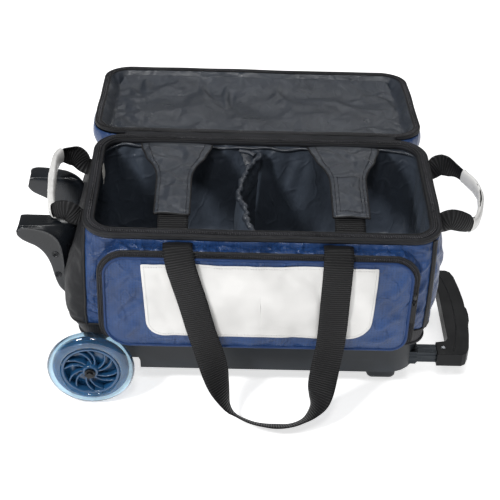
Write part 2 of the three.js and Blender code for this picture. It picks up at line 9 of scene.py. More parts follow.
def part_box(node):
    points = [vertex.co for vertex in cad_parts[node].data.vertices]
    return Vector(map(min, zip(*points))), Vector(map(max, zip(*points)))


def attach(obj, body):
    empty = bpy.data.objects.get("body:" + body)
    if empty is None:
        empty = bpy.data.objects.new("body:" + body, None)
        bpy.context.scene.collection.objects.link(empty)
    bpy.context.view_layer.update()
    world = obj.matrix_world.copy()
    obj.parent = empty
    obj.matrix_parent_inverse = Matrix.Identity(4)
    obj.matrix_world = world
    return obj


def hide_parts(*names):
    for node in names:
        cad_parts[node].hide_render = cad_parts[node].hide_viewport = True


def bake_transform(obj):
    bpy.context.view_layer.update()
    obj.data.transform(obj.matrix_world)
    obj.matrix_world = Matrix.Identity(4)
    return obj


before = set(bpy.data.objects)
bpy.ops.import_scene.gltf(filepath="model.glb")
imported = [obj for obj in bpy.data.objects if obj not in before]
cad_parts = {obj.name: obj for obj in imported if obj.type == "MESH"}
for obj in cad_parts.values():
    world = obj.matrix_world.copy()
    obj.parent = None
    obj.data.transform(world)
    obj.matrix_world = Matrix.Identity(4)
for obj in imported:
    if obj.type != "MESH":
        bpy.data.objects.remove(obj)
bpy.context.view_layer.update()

# A two-ball roller bag. Shapes are written in millimetres in bag coordinates: X towards the pull handle,
# Y = 0 on the bag's centre line, Z up from the floor. The axle node ties them to the row frame.

MM = 0.001
UP = np.array([0.0, 0.0, 1.0])
FRONT = np.array([0.0, -1.0, 0.0])
AXLE_X = -242.0
axle_centre = sum(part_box("axle"), Vector()) / 2
SHIFT = np.array([axle_centre.x - AXLE_X * MM, axle_centre.y, 0.0])

WHEEL_Y, WHEEL_Z = 150.0, 63.5
RIM_HALF_X, RIM_HALF_Y, RIM_CORNER = 250.0, 132.0, 45.0
LID_ANGLE = math.radians(-187.0)
LID_HINGE_Y, LID_HINGE_Z = 136.0, 291.2
LID_X, LID_HALF_X = -4.0, 253.0
LID_TOP_Z, LID_FLOOR_Z = 334.9, 311.8
SEAM_LEFT, SEAM_RIGHT = -246.0, 236.0
BAND_LOW, BAND_TOP, PANEL_TOP = 97.0, 131.0, 281.5
BALL_RADIUS, BALL_Z, CRADLE_TOP = 109.5, 187.0, 98.6

# The pocket and its light panel: low and high x, then low and high z. The face of the pocket is at POCKET_Y.
POCKET = (-218.0, 209.0, 111.0, 264.0)
POCKET_RADII = (30.0, 30.0, 36.0, 22.0)
POCKET_Y = -151.8
VINYL = (-167.0, 160.0, 133.0, 257.0)
VINYL_RADII = (0.6, 0.6, 24.0, 32.0)
ARCH_END_Z, SLIDER_X = 125.0, 213.6

# Zip teeth and stitches: spacing, then size across, along and in height. Two rows of teeth lie a gap apart.
COIL_PITCH, COIL_GAP, COIL_TOOTH = 3.2, 2.7, (2.5, 2.0, 1.4)
POCKET_PITCH, POCKET_GAP, POCKET_TOOTH = 2.4, 2.1, (1.9, 1.4, 1.1)
STITCH_PITCH, STITCH = 3.6, (0.9, 2.5, 0.7)

# Cloth simulation: frames, steps in each, mass of a vertex in kilograms, and stiffness along the threads.
SIM_FRAMES, SIM_QUALITY, CLOTH_MASS, CLOTH_STIFFNESS = 20, 5, 0.15, 12

# Sections of the fabric body: z, left, right, front, back, corner radius.
BODY = np.array([
    [97, -262, 243, -122, 122, 30],
    [131.15, -273, 246, -132.5, 126.5, 30],
    [160, -277, 248, -136, 129, 30],
    [205, -272, 250, -136, 130, 32],
    [250, -260, 250, -133, 130, 36],
    [281, -249, 249, -131, 130, 42],
], float)


# ------------------------------------------------------------------ numbers and curves

def srgb(text):
    """A colour in linear light from its six hexadecimal digits."""
    parts = [int(text[i:i + 2], 16) / 255 for i in (0, 2, 4)]
    return tuple(c / 12.92 if c <= 0.04045 else ((c + 0.055) / 1.055) ** 2.4 for c in parts) + (1.0,)


def spline(rows, place):
    """Catmull-Rom values of the rows at places counted in rows."""
    rows = np.asarray(rows, float)
    place = np.clip(np.atleast_1d(place), 0, len(rows) - 1 - 1e-9)
    k = place.astype(int)
    t = (place - k)[:, None]
    p0, p1 = rows[np.maximum(k - 1, 0)], rows[k]
    p2, p3 = rows[k + 1], rows[np.minimum(k + 2, len(rows) - 1)]
    return 0.5 * (2 * p1 + (p2 - p0) * t + (2 * p0 - 5 * p1 + 4 * p2 - p3) * t ** 2
                  + (3 * p1 - p0 - 3 * p2 + p3) * t ** 3)


def smoothed(rows, count):
    """That many places spread evenly over the rows' own spacing."""
    return spline(rows, np.linspace(0, len(rows) - 1, count))


def resampled(rows, count=None, step=None, closed=False, dims=3):
    """Rows spaced evenly along their first columns."""
    rows = np.asarray(rows, float)
    if closed:
        rows = np.vstack([rows, rows[:1]])
    runs = np.linalg.norm(np.diff(rows[:, :dims], axis=0), axis=1)
    along = np.concatenate([[0], np.cumsum(runs)])
    keep = np.concatenate([[True], runs > 1e-9])
    rows, along = rows[keep], along[keep]
    if count is None:
        count = max(3, round(along[-1] / step)) + (0 if closed else 1)
    at = np.linspace(0, along[-1], count, endpoint=not closed)
    return np.stack([np.interp(at, along, rows[:, c]) for c in range(rows.shape[1])], 1)


def unit(v):
    """Vectors made one long."""
    return v / np.maximum(np.linalg.norm(v, axis=-1, keepdims=True), 1e-12)


def tangents(path, closed=False):
    """Directions along a path."""
    if closed:
        return unit(np.roll(path, -1, 0) - np.roll(path, 1, 0))
    return unit(np.gradient(path, axis=0))


def at_height(flat, z):
    """2-D points as 3-D points at one height."""
    return np.column_stack([flat, np.full(len(flat), z)])


def in_front(flat, y):
    """A grid of x and z as 3-D points at y."""
    return np.dstack([flat[..., 0], np.broadcast_to(y, flat.shape[:2]), flat[..., 1]])


def rounded(x0, x1, y0, y1, radii, step, grow=0.0):
    """Points and outward normals round a box with round corners, counterclockwise from the right back."""
    radii = np.broadcast_to(np.asarray(radii, float), 4)
    signs = [(1, 1), (-1, 1), (-1, -1), (1, -1)]
    rows = []
    for quarter, ((sx, sy), r) in enumerate(zip(signs, radii)):
        centre = np.array([x1 - r if sx > 0 else x0 + r, y1 - r if sy > 0 else y0 + r])
        angle = (quarter + np.linspace(0, 1, 17)) * math.pi / 2
        normal = np.stack([np.cos(angle), np.sin(angle)], 1)
        rows.append(np.hstack([centre + (r + grow) * normal, normal]))
    made = resampled(np.vstack(rows), step=step, closed=True, dims=2)
    return made[:, :2], unit(made[:, 2:])


def rounded_grid(x0, x1, y0, y1, radii, step):
    """A grid over a box with round corners, as (columns, rows, 2)."""
    xs = np.linspace(x0, x1, round((x1 - x0) / step) + 1)
    ys = np.linspace(y0, y1, round((y1 - y0) / step) + 1)
    grid = np.stack(np.meshgrid(xs, ys, indexing="ij"), -1)
    radii = np.broadcast_to(np.asarray(radii, float), 4)
    for (sx, sy), r in zip([(1, 1), (-1, 1), (-1, -1), (1, -1)], radii):
        corner = np.array([x1 - r if sx > 0 else x0 + r, y1 - r if sy > 0 else y0 + r])
        d = grid - corner
        inside = (d[..., 0] * sx > 0) & (d[..., 1] * sy > 0)
        scale = np.abs(d).max(-1) / np.maximum(np.linalg.norm(d, axis=-1), 1e-9)
        grid = np.where(inside[..., None], corner + d * scale[..., None], grid)
    return grid


def ripple(points, size, amount, seed=0.0):
    """Smooth noise at points in millimetres, from -amount to amount, with waves of that size."""
    flat = np.asarray(points, float).reshape(-1, 3)
    offset = Vector((seed * 17.3, seed * 5.1, seed * 9.7))
    values = [noise.noise(Vector(p) / size + offset) for p in flat.tolist()]
    return amount * 2 * np.array(values).reshape(np.asarray(points).shape[:-1])


def folds(flat, rows):
    """Heights of creases on 2-D points; each row is x0, y0, x1, y1, half width, height."""
    total = np.zeros(flat.shape[:-1])
    for x0, y0, x1, y1, width, height in rows:
        run = np.array([x1 - x0, y1 - y0], float)
        length = np.linalg.norm(run)
        d = flat - np.array([x0, y0])
        t = (d @ run) / length ** 2
        side = (d[..., 0] * run[1] - d[..., 1] * run[0]) / length + width * 0.7 * np.sin(3.5 * t + x0)
        fade = np.clip(4.5 * np.minimum(t, 1 - t), 0, 1)
        ridge = np.exp(-(side / width) ** 2) - 0.6 * np.exp(-((side - 1.7 * width) / width) ** 2)
        total += height * fade * ridge
    return total


# ------------------------------------------------------------------ meshes

def grid_faces(n, m, wrap_n=False, wrap_m=False):
    """Four-sided faces between the points of an n by m grid, wrapped where it closes."""
    i, j = np.meshgrid(np.arange(n if wrap_n else n - 1), np.arange(m if wrap_m else m - 1), indexing="ij")
    a, b = i * m + j, (i + 1) % n * m + j
    c, d = (i + 1) % n * m + (j + 1) % m, i * m + (j + 1) % m
    return np.stack([a, b, c, d], -1).reshape(-1, 4)


def grid_shape(grid, wrap_n=False, wrap_m=False):
    """A grid's points and faces."""
    n, m = grid.shape[:2]
    return grid.reshape(-1, 3), grid_faces(n, m, wrap_n, wrap_m)


def capped(grid):
    """A grid that closes round its second axis, with a flat end at each end of its first."""
    n, m = grid.shape[:2]
    points, faces = grid_shape(grid, wrap_m=True)
    return points, faces.tolist() + [list(range(m))[::-1], list(range((n - 1) * m, n * m))]


def sweep(path, side, up, profile):
    """Points of a profile of (offset, height) carried along a path, as (path, profile, 3)."""
    profile = np.asarray(profile, float)
    side, up = np.broadcast_to(side, path.shape), np.broadcast_to(up, path.shape)
    return (path[:, None] + side[:, None] * profile[None, :, :1] + up[:, None] * profile[None, :, 1:])


def tube(path, radius, ref=UP, closed=False, sides=8, flat=1.0):
    """A tube's points and faces. ref is any direction that the path doesn't follow."""
    t = tangents(path, closed)
    side = unit(np.cross(t, np.broadcast_to(ref, path.shape)))
    up = np.cross(side, t)
    angle = np.arange(sides) * 2 * math.pi / sides
    radius = np.broadcast_to(radius, len(path))[:, None, None]
    ring = side[:, None] * np.cos(angle)[None, :, None] + up[:, None] * np.sin(angle)[None, :, None] * flat
    points = path[:, None] + ring * radius
    return grid_shape(points, True, True) if closed else capped(points)


def bricks(path, across, up, pitch, size, closed=False):
    """Small rounded blocks along a path, such as zip teeth or stitches. size is (across, along, height)."""
    rows = resampled(np.hstack([path, np.broadcast_to(across, path.shape), np.broadcast_to(up, path.shape)]),
                     step=pitch, closed=closed)
    at, side, top = rows[:, :3], unit(rows[:, 3:6]), unit(rows[:, 6:])
    along = tangents(at, closed)
    w, l, h = size[0] / 2, size[1] / 2, size[2]
    corners = np.array([[-w, -l, 0], [w, -l, 0], [w, l, 0], [-w, l, 0],
                        [-w * 0.8, -l * 0.6, h], [w * 0.8, -l * 0.6, h], [w * 0.8, l * 0.6, h],
                        [-w * 0.8, l * 0.6, h]])
    points = (at[:, None] + side[:, None] * corners[None, :, :1] + along[:, None] * corners[None, :, 1:2]
              + top[:, None] * corners[None, :, 2:])
    box = np.array([[3, 2, 1, 0], [4, 5, 6, 7], [0, 1, 5, 4], [1, 2, 6, 5], [2, 3, 7, 6], [3, 0, 4, 7]])
    faces = (np.arange(len(at))[:, None, None] * 8 + box[None]).reshape(-1, 4)
    return points.reshape(-1, 3), faces.tolist()


def merged(*parts):
    """Several (points, faces) as one."""
    points, faces, start = [], [], 0
    for p, f in parts:
        points.append(p)
        faces += [[start + i for i in face] for face in f]
        start += len(p)
    return np.vstack(points), faces


def open_lid(points):
    """Points of the closed lid, turned to where the lid lies open."""
    y, z = points[:, 1] - LID_HINGE_Y, points[:, 2] - LID_HINGE_Z
    c, s = math.cos(LID_ANGLE), math.sin(LID_ANGLE)
    return np.stack([points[:, 0], y * c - z * s + LID_HINGE_Y, y * s + z * c + LID_HINGE_Z], 1)


def build(name, shape, material, slot, body="bag", replaces=(), solid=False, uv=None):
    """A piece from (points in millimetres, faces)."""
    points, faces = shape
    mesh = bpy.data.meshes.new(name)
    mesh.from_pydata((np.asarray(points) * MM + SHIFT).tolist(), [], [list(map(int, f)) for f in faces])
    if solid:
        bm = bmesh.new()
        bm.from_mesh(mesh)
        bmesh.ops.recalc_face_normals(bm, faces=bm.faces)
        bm.to_mesh(mesh)
        bm.free()
    if uv is not None:
        layer = mesh.uv_layers.new(name="UVMap")
        index = np.zeros(len(mesh.loops), int)
        mesh.loops.foreach_get("vertex_index", index)
        layer.data.foreach_set("uv", np.asarray(uv, float)[index].ravel())
    mesh.polygons.foreach_set("use_smooth", [True] * len(mesh.polygons))
    mesh.materials.append(material)
    obj = bpy.data.objects.new(name, mesh)
    bpy.context.scene.collection.objects.link(obj)
    if body:
        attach(obj, body)
    if replaces:
        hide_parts(*replaces)
    return obj


def thicken(obj, thickness, offset=-1.0, levels=1):
    """Gives a sheet its thickness in millimetres and smooths it."""
    solid = obj.modifiers.new("thick", "SOLIDIFY")
    solid.thickness, solid.offset = thickness * MM, offset
    if levels:
        sub = obj.modifiers.new("smooth", "SUBSURF")
        sub.levels = sub.render_levels = levels
    return obj


def rim_of(grid, wrap_n=False):
    """Indices of a grid's border points; a grid that closes along its first axis has only two edges."""
    index = np.arange(grid.shape[0] * grid.shape[1]).reshape(grid.shape[:2])
    ends = [index[:, 0], index[:, -1]] + ([] if wrap_n else [index[0], index[-1]])
    return sorted({int(i) for part in ends for i in part})


# ------------------------------------------------------------------ cloth

SOFTENED = []


def wrinkle(obj, pinned, grow, cap, pressure=0.0, bend=0.15, gravity=0.0):
    """Lets a sheet settle as cloth cut a little larger than its frame, held at its pinned points."""
    group = obj.vertex_groups.new(name="pinned")
    group.add(pinned, 1.0, "REPLACE")
    cloth = obj.modifiers.new("Cloth", "CLOTH")
    settings = cloth.settings
    settings.quality = SIM_QUALITY
    settings.mass = CLOTH_MASS
    settings.tension_stiffness = settings.compression_stiffness = CLOTH_STIFFNESS
    settings.shear_stiffness = CLOTH_STIFFNESS
    settings.bending_stiffness = bend
    settings.vertex_group_mass = group.name
    settings.shrink_min = -grow
    settings.effector_weights.gravity = gravity
    settings.use_pressure = pressure != 0
    settings.uniform_pressure_force = pressure
    cloth.collision_settings.use_collision = False
    SOFTENED.append((obj, cap))
    return obj


def settle():
    """Steps all the cloth together, then keeps each point's move under its cap."""
    if not SOFTENED:
        return
    scene = bpy.context.scene
    later = [m for obj, _ in SOFTENED for m in obj.modifiers if m.type != "CLOTH"]
    for modifier in later:
        modifier.show_viewport = False
    for step in range(1, SIM_FRAMES + 1):
        scene.frame_set(step)
    graph = bpy.context.evaluated_depsgraph_get()
    settled = []
    for obj, cap in SOFTENED:
        moved = obj.evaluated_get(graph).data
        new = np.zeros(len(obj.data.vertices) * 3, np.float32)
        moved.vertices.foreach_get("co", new)
        settled.append(new.reshape(-1, 3))
    for (obj, cap), new in zip(SOFTENED, settled):
        rest = np.zeros(len(new) * 3, np.float32)
        obj.data.vertices.foreach_get("co", rest)
        rest = rest.reshape(-1, 3)
        step = new - rest
        size = np.linalg.norm(step, axis=1, keepdims=True)
        limit = cap * MM
        rest = rest + step * limit * np.tanh(size / limit) / np.maximum(size, 1e-9)
        obj.modifiers.remove(obj.modifiers["Cloth"])
        obj.data.vertices.foreach_set("co", rest.astype(np.float32).ravel())
        obj.data.update()
    for modifier in later:
        modifier.show_viewport = True
    scene.frame_set(1)


# ------------------------------------------------------------------ materials

class Look:
    """A Principled material whose colour, roughness and bump come from procedural nodes."""

    def __init__(self, name, **inputs):
        self.mat = bpy.data.materials.new(name)
        self.mat.use_nodes = True
        self.tree = self.mat.node_tree
        self.bsdf = self.tree.nodes["Principled BSDF"]
        self.where = self.node("ShaderNodeTexCoord").outputs["Object"]
        for key, value in inputs.items():
            self.put(value, key.replace("_", " "))

    def node(self, kind, **settings):
        """A new node with those settings."""
        made = self.tree.nodes.new(kind)
        for key, value in settings.items():
            setattr(made, key, value)
        return made

    def feed(self, value, socket):
        """Links a socket to another, or gives it a value."""
        if isinstance(value, bpy.types.NodeSocket):
            self.tree.links.new(value, socket)
        else:
            socket.default_value = value

    def put(self, value, name):
        """Feeds an input of the Principled node."""
        self.feed(value, self.bsdf.inputs[name])

    def math(self, operation, a, b=0.0):
        """One step of arithmetic on values or sockets."""
        made = self.node("ShaderNodeMath", operation=operation)
        self.feed(a, made.inputs[0])
        self.feed(b, made.inputs[1])
        return made.outputs[0]

    def axes(self, vector=None):
        """A vector's three parts, or those of the place on the object."""
        made = self.node("ShaderNodeSeparateXYZ")
        self.feed(self.where if vector is None else vector, made.inputs[0])
        return [made.outputs[i] for i in range(3)]

    def stretched(self, scale):
        """The place on the object, scaled along each axis."""
        made = self.node("ShaderNodeVectorMath", operation="MULTIPLY")
        self.feed(self.where, made.inputs[0])
        made.inputs[1].default_value = scale
        return made.outputs[0]

    def noise(self, size, detail=2.0, vector=None):
        """Noise from 0 to 1 with features of that size in millimetres."""
        made = self.node("ShaderNodeTexNoise")
        self.feed(self.where if vector is None else vector, made.inputs["Vector"])
        made.inputs["Scale"].default_value = 1 / (size * MM)
        made.inputs["Detail"].default_value = detail
        return made.outputs["Fac"]

    def wave(self, value, pitch):
        """A sine of a length in metres, from -1 to 1, with that pitch in millimetres."""
        return self.math("SINE", self.math("MULTIPLY", value, 2 * math.pi / (pitch * MM)))

    def lattice(self, pitch, power=1):
        """Threads along the two axes that a face of the bag lies across, whichever way it faces."""
        total = None
        facing = self.axes(self.node("ShaderNodeTexCoord").outputs["Normal"])
        for axis, toward in zip(self.axes(), facing):
            line = self.wave(axis, pitch)
            if power > 1:
                line = self.math("POWER", self.math("ABSOLUTE", line), power)
            line = self.math("MULTIPLY", line, self.ranged(self.math("ABSOLUTE", toward), 0.5, 0.72, 1, 0))
            total = line if total is None else self.math("ADD", total, line)
        return total

    def ranged(self, value, low, high, to_low=0.0, to_high=1.0):
        """A value's range turned into another, held at its ends."""
        made = self.node("ShaderNodeMapRange")
        self.feed(value, made.inputs["Value"])
        for key, number in zip(("From Min", "From Max", "To Min", "To Max"), (low, high, to_low, to_high)):
            made.inputs[key].default_value = number
        return made.outputs["Result"]

    def mix(self, factor, a, b):
        """A blend of two colours."""
        made = self.node("ShaderNodeMix", data_type="RGBA")
        first, second = [s for s in made.inputs if s.type == "RGBA"]
        self.feed(factor, made.inputs["Factor"])
        self.feed(a, first)
        self.feed(b, second)
        return next(o for o in made.outputs if o.type == "RGBA")

    def bump(self, height, depth, strength=1.0):
        """depth is the height of a full step, in millimetres. Bumps stack."""
        made = self.node("ShaderNodeBump")
        made.inputs["Strength"].default_value = strength
        made.inputs["Distance"].default_value = depth * MM
        self.feed(height, made.inputs["Height"])
        before = self.bsdf.inputs["Normal"]
        if before.is_linked:
            self.feed(before.links[0].from_socket, made.inputs["Normal"])
        self.put(made.outputs["Normal"], "Normal")


def woven(name, dark, light, thread=1.1, grid=None, rough=(0.45, 0.6), shine=0.22, crinkle=0.5, patch=60,
          drape=0.0):
    """Cloth with a weave, a slow change of shade, slack (drape) and small creases; grid adds ripstop."""
    look = Look(name, Sheen_Weight=0.02, Sheen_Roughness=0.4, Specular_IOR_Level=shine)
    shade = look.ranged(look.noise(patch, 3.0), 0.3, 0.7)
    weave = look.lattice(thread)
    shade = look.math("ADD", look.math("MULTIPLY", shade, 0.3), look.ranged(weave, -2, 2, 0.0, 0.75))
    if grid:
        lines = look.ranged(look.lattice(grid * 2, 24), 0.75, 1.6)
        shade = look.math("SUBTRACT", shade, look.math("MULTIPLY", lines, 0.5))
        look.bump(lines, 0.3, 0.8)
    look.put(look.mix(shade, srgb(dark), srgb(light)), "Base Color")
    look.put(look.ranged(look.noise(35, 2.0), 0.3, 0.7, *rough), "Roughness")
    if drape:
        look.bump(look.noise(26, 1.5, look.stretched((1.5, 1, 0.7))), drape, 0.8)
        slow = look.noise(40, 1.0, look.stretched((1.3, 1, 0.8)))
        crease = look.math("ABSOLUTE", look.math("SUBTRACT", slow, 0.5))
        look.bump(look.ranged(crease, 0, 0.05, 1, 0), drape * 0.22, 0.8)
    look.bump(look.noise(9, 3.0), crinkle, 0.7)
    look.bump(weave, 0.12, 0.5)
    return look.mat


def webbing_look(name, dark, light, rib=3.5):
    """Strap webbing: ribs across the strap under a fine twill, laid along the strap by its UV map."""
    look = Look(name, Specular_IOR_Level=0.3)
    flat = look.node("ShaderNodeUVMap", uv_map="UVMap").outputs["UV"]
    across, along, _ = look.axes(flat)
    ribs = look.ranged(look.wave(along, rib), -0.6, 1.0)
    twill = look.ranged(look.wave(look.math("ADD", across, look.math("MULTIPLY", along, 0.5)), 1.3), -1, 1)
    shade = look.math("ADD", look.math("MULTIPLY", ribs, 0.85), look.math("MULTIPLY", twill, 0.12))
    shade = look.math("MULTIPLY", shade, look.ranged(look.noise(45, 3.0), 0.25, 0.75, 0.6, 1.1))
    look.put(look.mix(shade, srgb(dark), srgb(light)), "Base Color")
    look.put(look.ranged(ribs, 0, 1, 0.75, 0.5), "Roughness")
    look.bump(ribs, 0.7, 1.0)
    look.bump(twill, 0.1, 0.4)
    return look.mat


def plastic_look(name, dark, light, rough=(0.34, 0.46), depth=0.08, shine=0.35):
    """Moulded plastic: fine texture, slow gloss changes and a few scuffs."""
    look = Look(name, Specular_IOR_Level=shine)
    scuff = look.ranged(look.noise(7, 6.0, look.stretched((0.15, 1, 1))), 0.62, 0.78)
    shade = look.math("ADD", look.ranged(look.noise(90, 2.0), 0.3, 0.7, 0, 0.7),
                      look.math("MULTIPLY", scuff, 0.5))
    look.put(look.mix(shade, srgb(dark), srgb(light)), "Base Color")
    look.put(look.ranged(look.noise(30, 3.0), 0.3, 0.7, *rough), "Roughness")
    look.bump(look.noise(1.4, 2.0), depth, 0.6)
    return look.mat


def vinyl_look(name, dark, light):
    """Light coated cloth with soft creases in relief, darker patches painted in as crease shade, and a faint
    grain.
    """
    look = Look(name, Coat_Weight=0.15, Coat_Roughness=0.3)
    # Painted shade: darker patches mixed into the colour stand for the grey shade in the creases.
    crease = look.ranged(look.noise(60, 2.0), 0.3, 0.7)
    look.put(look.mix(crease, srgb(dark), srgb(light)), "Base Color")
    look.put(look.ranged(look.noise(14, 2.0), 0.3, 0.7, 0.34, 0.5), "Roughness")
    look.bump(look.noise(22, 2.0), 0.35, 0.4)
    look.bump(look.noise(1.1, 1.0), 0.05, 0.5)
    return look.mat


def metal_look(name, colour, rough, streak=0.35):
    """Brushed metal with long fine streaks."""
    look = Look(name, Metallic=0.85)
    lines = look.noise(2.5, 4.0, look.stretched((0.05, 1, 1)))
    look.put(look.mix(look.ranged(lines, 0.3, 0.7, 0, streak), srgb(colour), srgb("c4c8cc")), "Base Color")
    look.put(look.ranged(lines, 0.3, 0.7, rough, rough + 0.15), "Roughness")
    look.bump(lines, 0.05, 0.5)
    return look.mat


def clear_look(name, colour, clear, rough=0.06):
    """Cast urethane, tinted and partly clear, with faint flow marks."""
    look = Look(name, Transmission_Weight=clear, IOR=1.49, Coat_Weight=0.4, Coat_Roughness=0.05)
    flow = look.ranged(look.noise(24, 3.0), 0.3, 0.7)
    tint = srgb(colour)
    look.put(look.mix(flow, tint, tuple(min(1.0, c * 1.5) for c in tint[:3]) + (1.0,)), "Base Color")
    look.put(look.ranged(look.noise(18, 2.0), 0.3, 0.7, rough, rough + 0.08), "Roughness")
    look.bump(look.noise(20, 2.0), 0.15, 0.4)
    return look.mat


def foam_look(name, dark, light):
    """Foam with small open cells."""
    look = Look(name, Roughness=0.9, Sheen_Weight=0.4)
    cells = look.node("ShaderNodeTexVoronoi")
    look.feed(look.where, cells.inputs["Vector"])
    cells.inputs["Scale"].default_value = 1 / (2.4 * MM)
    look.put(look.mix(look.ranged(cells.outputs["Distance"], 0, 0.8), srgb(dark), srgb(light)), "Base Color")
    look.bump(cells.outputs["Distance"], 0.35, 0.7)
    return look.mat


NAVY = woven("navy_ripstop", "091833", "274f8a", thread=1.3, grid=4.2, rough=(0.27, 0.37), shine=0.45,
             crinkle=1.6, drape=5.0)
NAVY_PIPING = woven("navy_piping", "0e1d3a", "26467c", thread=0.9, rough=(0.4, 0.55), crinkle=0.2)
BLACK_NYLON = woven("black_nylon", "0d0d0f", "242528", thread=1.2, rough=(0.5, 0.65), crinkle=0.5)
BALLISTIC = woven("ballistic_weave", "060607", "3c3c40", thread=3.4, rough=(0.5, 0.7), crinkle=0.25)
SATIN = woven("satin_lining", "1d2229", "383f4a", thread=0.8, rough=(0.27, 0.36), shine=0.8, crinkle=0.6,
              drape=1.4)
# A lighter copy of the satin lining for the walls and divider inside the body: painted light that makes up
# for the shade that falls inside.
INSIDE_SATIN_PAINTED_LIGHT = woven("inside_satin_painted_light", "2a2f37", "56606e", thread=0.8, rough=(0.28, 0.38), shine=0.9, crinkle=1.0,
                   drape=3.0)
BINDING = woven("edge_binding", "131417", "313236", thread=1.6, rough=(0.55, 0.7), crinkle=0.3, patch=20)
PIPING = woven("black_piping", "101011", "2b2b2d", thread=1.0, rough=(0.4, 0.55), crinkle=0.1, patch=18)
WEBBING = webbing_look("strap_webbing", "040405", "232325")
THREAD = woven("thread", "0c0c10", "1f2024", thread=0.5, rough=(0.5, 0.6), crinkle=0.05)
VINYL_LOOK = vinyl_look("light_vinyl", "cbcac8", "e2e1df")
LABEL = woven("label_cloth", "b8b6b0", "dedcd6", thread=0.6, rough=(0.6, 0.7), crinkle=0.1)
# The coil teeth are black plastic; the lighter grey in their colour is painted highlight for the glints they
# catch.
COIL = plastic_look("zip_coil", "1d1d1f", "4d4d52", rough=(0.25, 0.35), depth=0.02)
TRAY_PLASTIC = plastic_look("tray_plastic", "161b20", "242b33")
LEG_PLASTIC = plastic_look("leg_plastic", "0e1115", "1b2027", rough=(0.2, 0.32), shine=0.5)
GRIP_PLASTIC = plastic_look("grip_plastic", "08090b", "131518", rough=(0.4, 0.55), depth=0.12, shine=0.2)
TUBE = metal_look("tube_metal", "1c2126", 0.2, streak=0.05)
STEEL = metal_look("screw_steel", "7c7f83", 0.28)
DARK_STEEL = metal_look("dark_steel", "161618", 0.34, streak=0.08)
TYRE = clear_look("tyre_urethane", "a3c2d4", 0.98, rough=0.02)
HUB = clear_look("hub_plastic", "1b4468", 0.1, rough=0.18)
CORE = clear_look("tyre_core", "0f6494", 0.3, rough=0.08)
FOAM = foam_look("foam_cover", "101114", "25272b")
BOARD = woven("board_cloth", "0e0f11", "1d1f22", thread=2.0)


# ------------------------------------------------------------------ CAD nodes that keep their shape

def dress(node, material, edge=0.0):
    """A CAD node's own material, and edges softened by that many millimetres."""
    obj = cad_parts[node]
    obj.data.materials.clear()
    obj.data.materials.append(material)
    weld = obj.modifiers.new("weld", "WELD")
    weld.merge_threshold = 0.02 * MM
    if edge:
        flat = obj.modifiers.new("flat", "DECIMATE")
        flat.decimate_type, flat.angle_limit = "DISSOLVE", math.radians(1)
        bevel = obj.modifiers.new("edges", "BEVEL")
        bevel.width, bevel.segments, bevel.angle_limit = edge * MM, 3, math.radians(30)
        bevel.harden_normals = False
    obj.data.polygons.foreach_set("use_smooth", [True] * len(obj.data.polygons))
    normals = obj.modifiers.new("normals", "WEIGHTED_NORMAL")
    normals.keep_sharp = True


dress("base_tray", TRAY_PLASTIC, 1.6)
dress("base_board", BOARD)
for node in ("axle", "socket_screw_front", "socket_screw_rear"):
    dress(node, STEEL, 0.3)
dress("pull_grip", GRIP_PLASTIC, 3.2)
dress("grip_button", GRIP_PLASTIC, 1.6)
for place in ("front", "rear"):
    dress(f"foot_{place}", TRAY_PLASTIC, 1.2)
    dress(f"hub_cap_{place}", DARK_STEEL, 0.5)
    for tube_name in ("outer_sleeve", "stage1_tube", "stage2_tube"):
        dress(f"{tube_name}_{place}", TUBE, 0.5)


# ------------------------------------------------------------------ body panels

def body_row(z):
    """The body's left, right, front, back and corner radius at a height."""
    place = np.interp(z, BODY[:, 0], np.arange(len(BODY)))
    return spline(BODY, place)[0][1:]


def quarter(row, sx, sy, start, end):
    """Part of a corner of the body's outline, by angle from the long side."""
    left, right, front, back, r = row
    cx, cy = (right - r if sx > 0 else left + r), (back - r if sy > 0 else front + r)
    angle = np.linspace(start, end, 10)
    return np.stack([cx + sx * r * np.sin(angle), cy + sy * r * np.cos(angle)], 1)


def seam_angles(row):
    """How far round the corner the seams at the left and right ends lie."""
    left, right, _, _, r = row
    return [math.asin(min(1.0, max(0.0, d / r))) for d in (left + r - SEAM_LEFT, SEAM_RIGHT - right + r)]


def panel_path(z, side, inset=0.0):
    """One panel's stretch of the body's outline at a height, from seam to seam."""
    row = body_row(z) + np.array([inset, -inset, inset, -inset, -inset])
    at_left, at_right = seam_angles(row)
    half = math.pi / 2
    parts = {
        "front": [(-1, -1, at_left, 0), (1, -1, 0, at_right)],
        "right": [(1, -1, at_right, half), (1, 1, half, at_right)],
        "back": [(1, 1, at_right, 0), (-1, 1, 0, at_left)],
        "left": [(-1, 1, at_left, half), (-1, -1, half, at_left)],
    }[side]
    return np.vstack([quarter(row, *part) for part in parts])


def body_ring(z, inset, count):
    """The body's whole outline at a height."""
    ring = np.vstack([panel_path(z, side, inset) for side in ("front", "right", "back", "left")])
    return resampled(ring, count=count, closed=True, dims=2)


def normals_of(grid):
    """The direction that a grid faces at each point."""
    du, dv = np.gradient(grid, axis=0), np.gradient(grid, axis=1)
    return unit(np.cross(du, dv))


def pushed(grid, amount):
    """A grid moved along its normals by an amount for each point."""
    return grid + normals_of(grid) * amount[..., None]


def panel_grid(side, z0, z1, step):
    """A body panel as a grid of points from seam to seam and from z0 to z1."""
    levels = np.linspace(z0, z1, round((z1 - z0) / step) + 1)
    length = len(resampled(panel_path((z0 + z1) / 2, side), step=step, dims=2))
    return np.stack([at_height(resampled(panel_path(z, side), count=length, dims=2), z) for z in levels], 1)


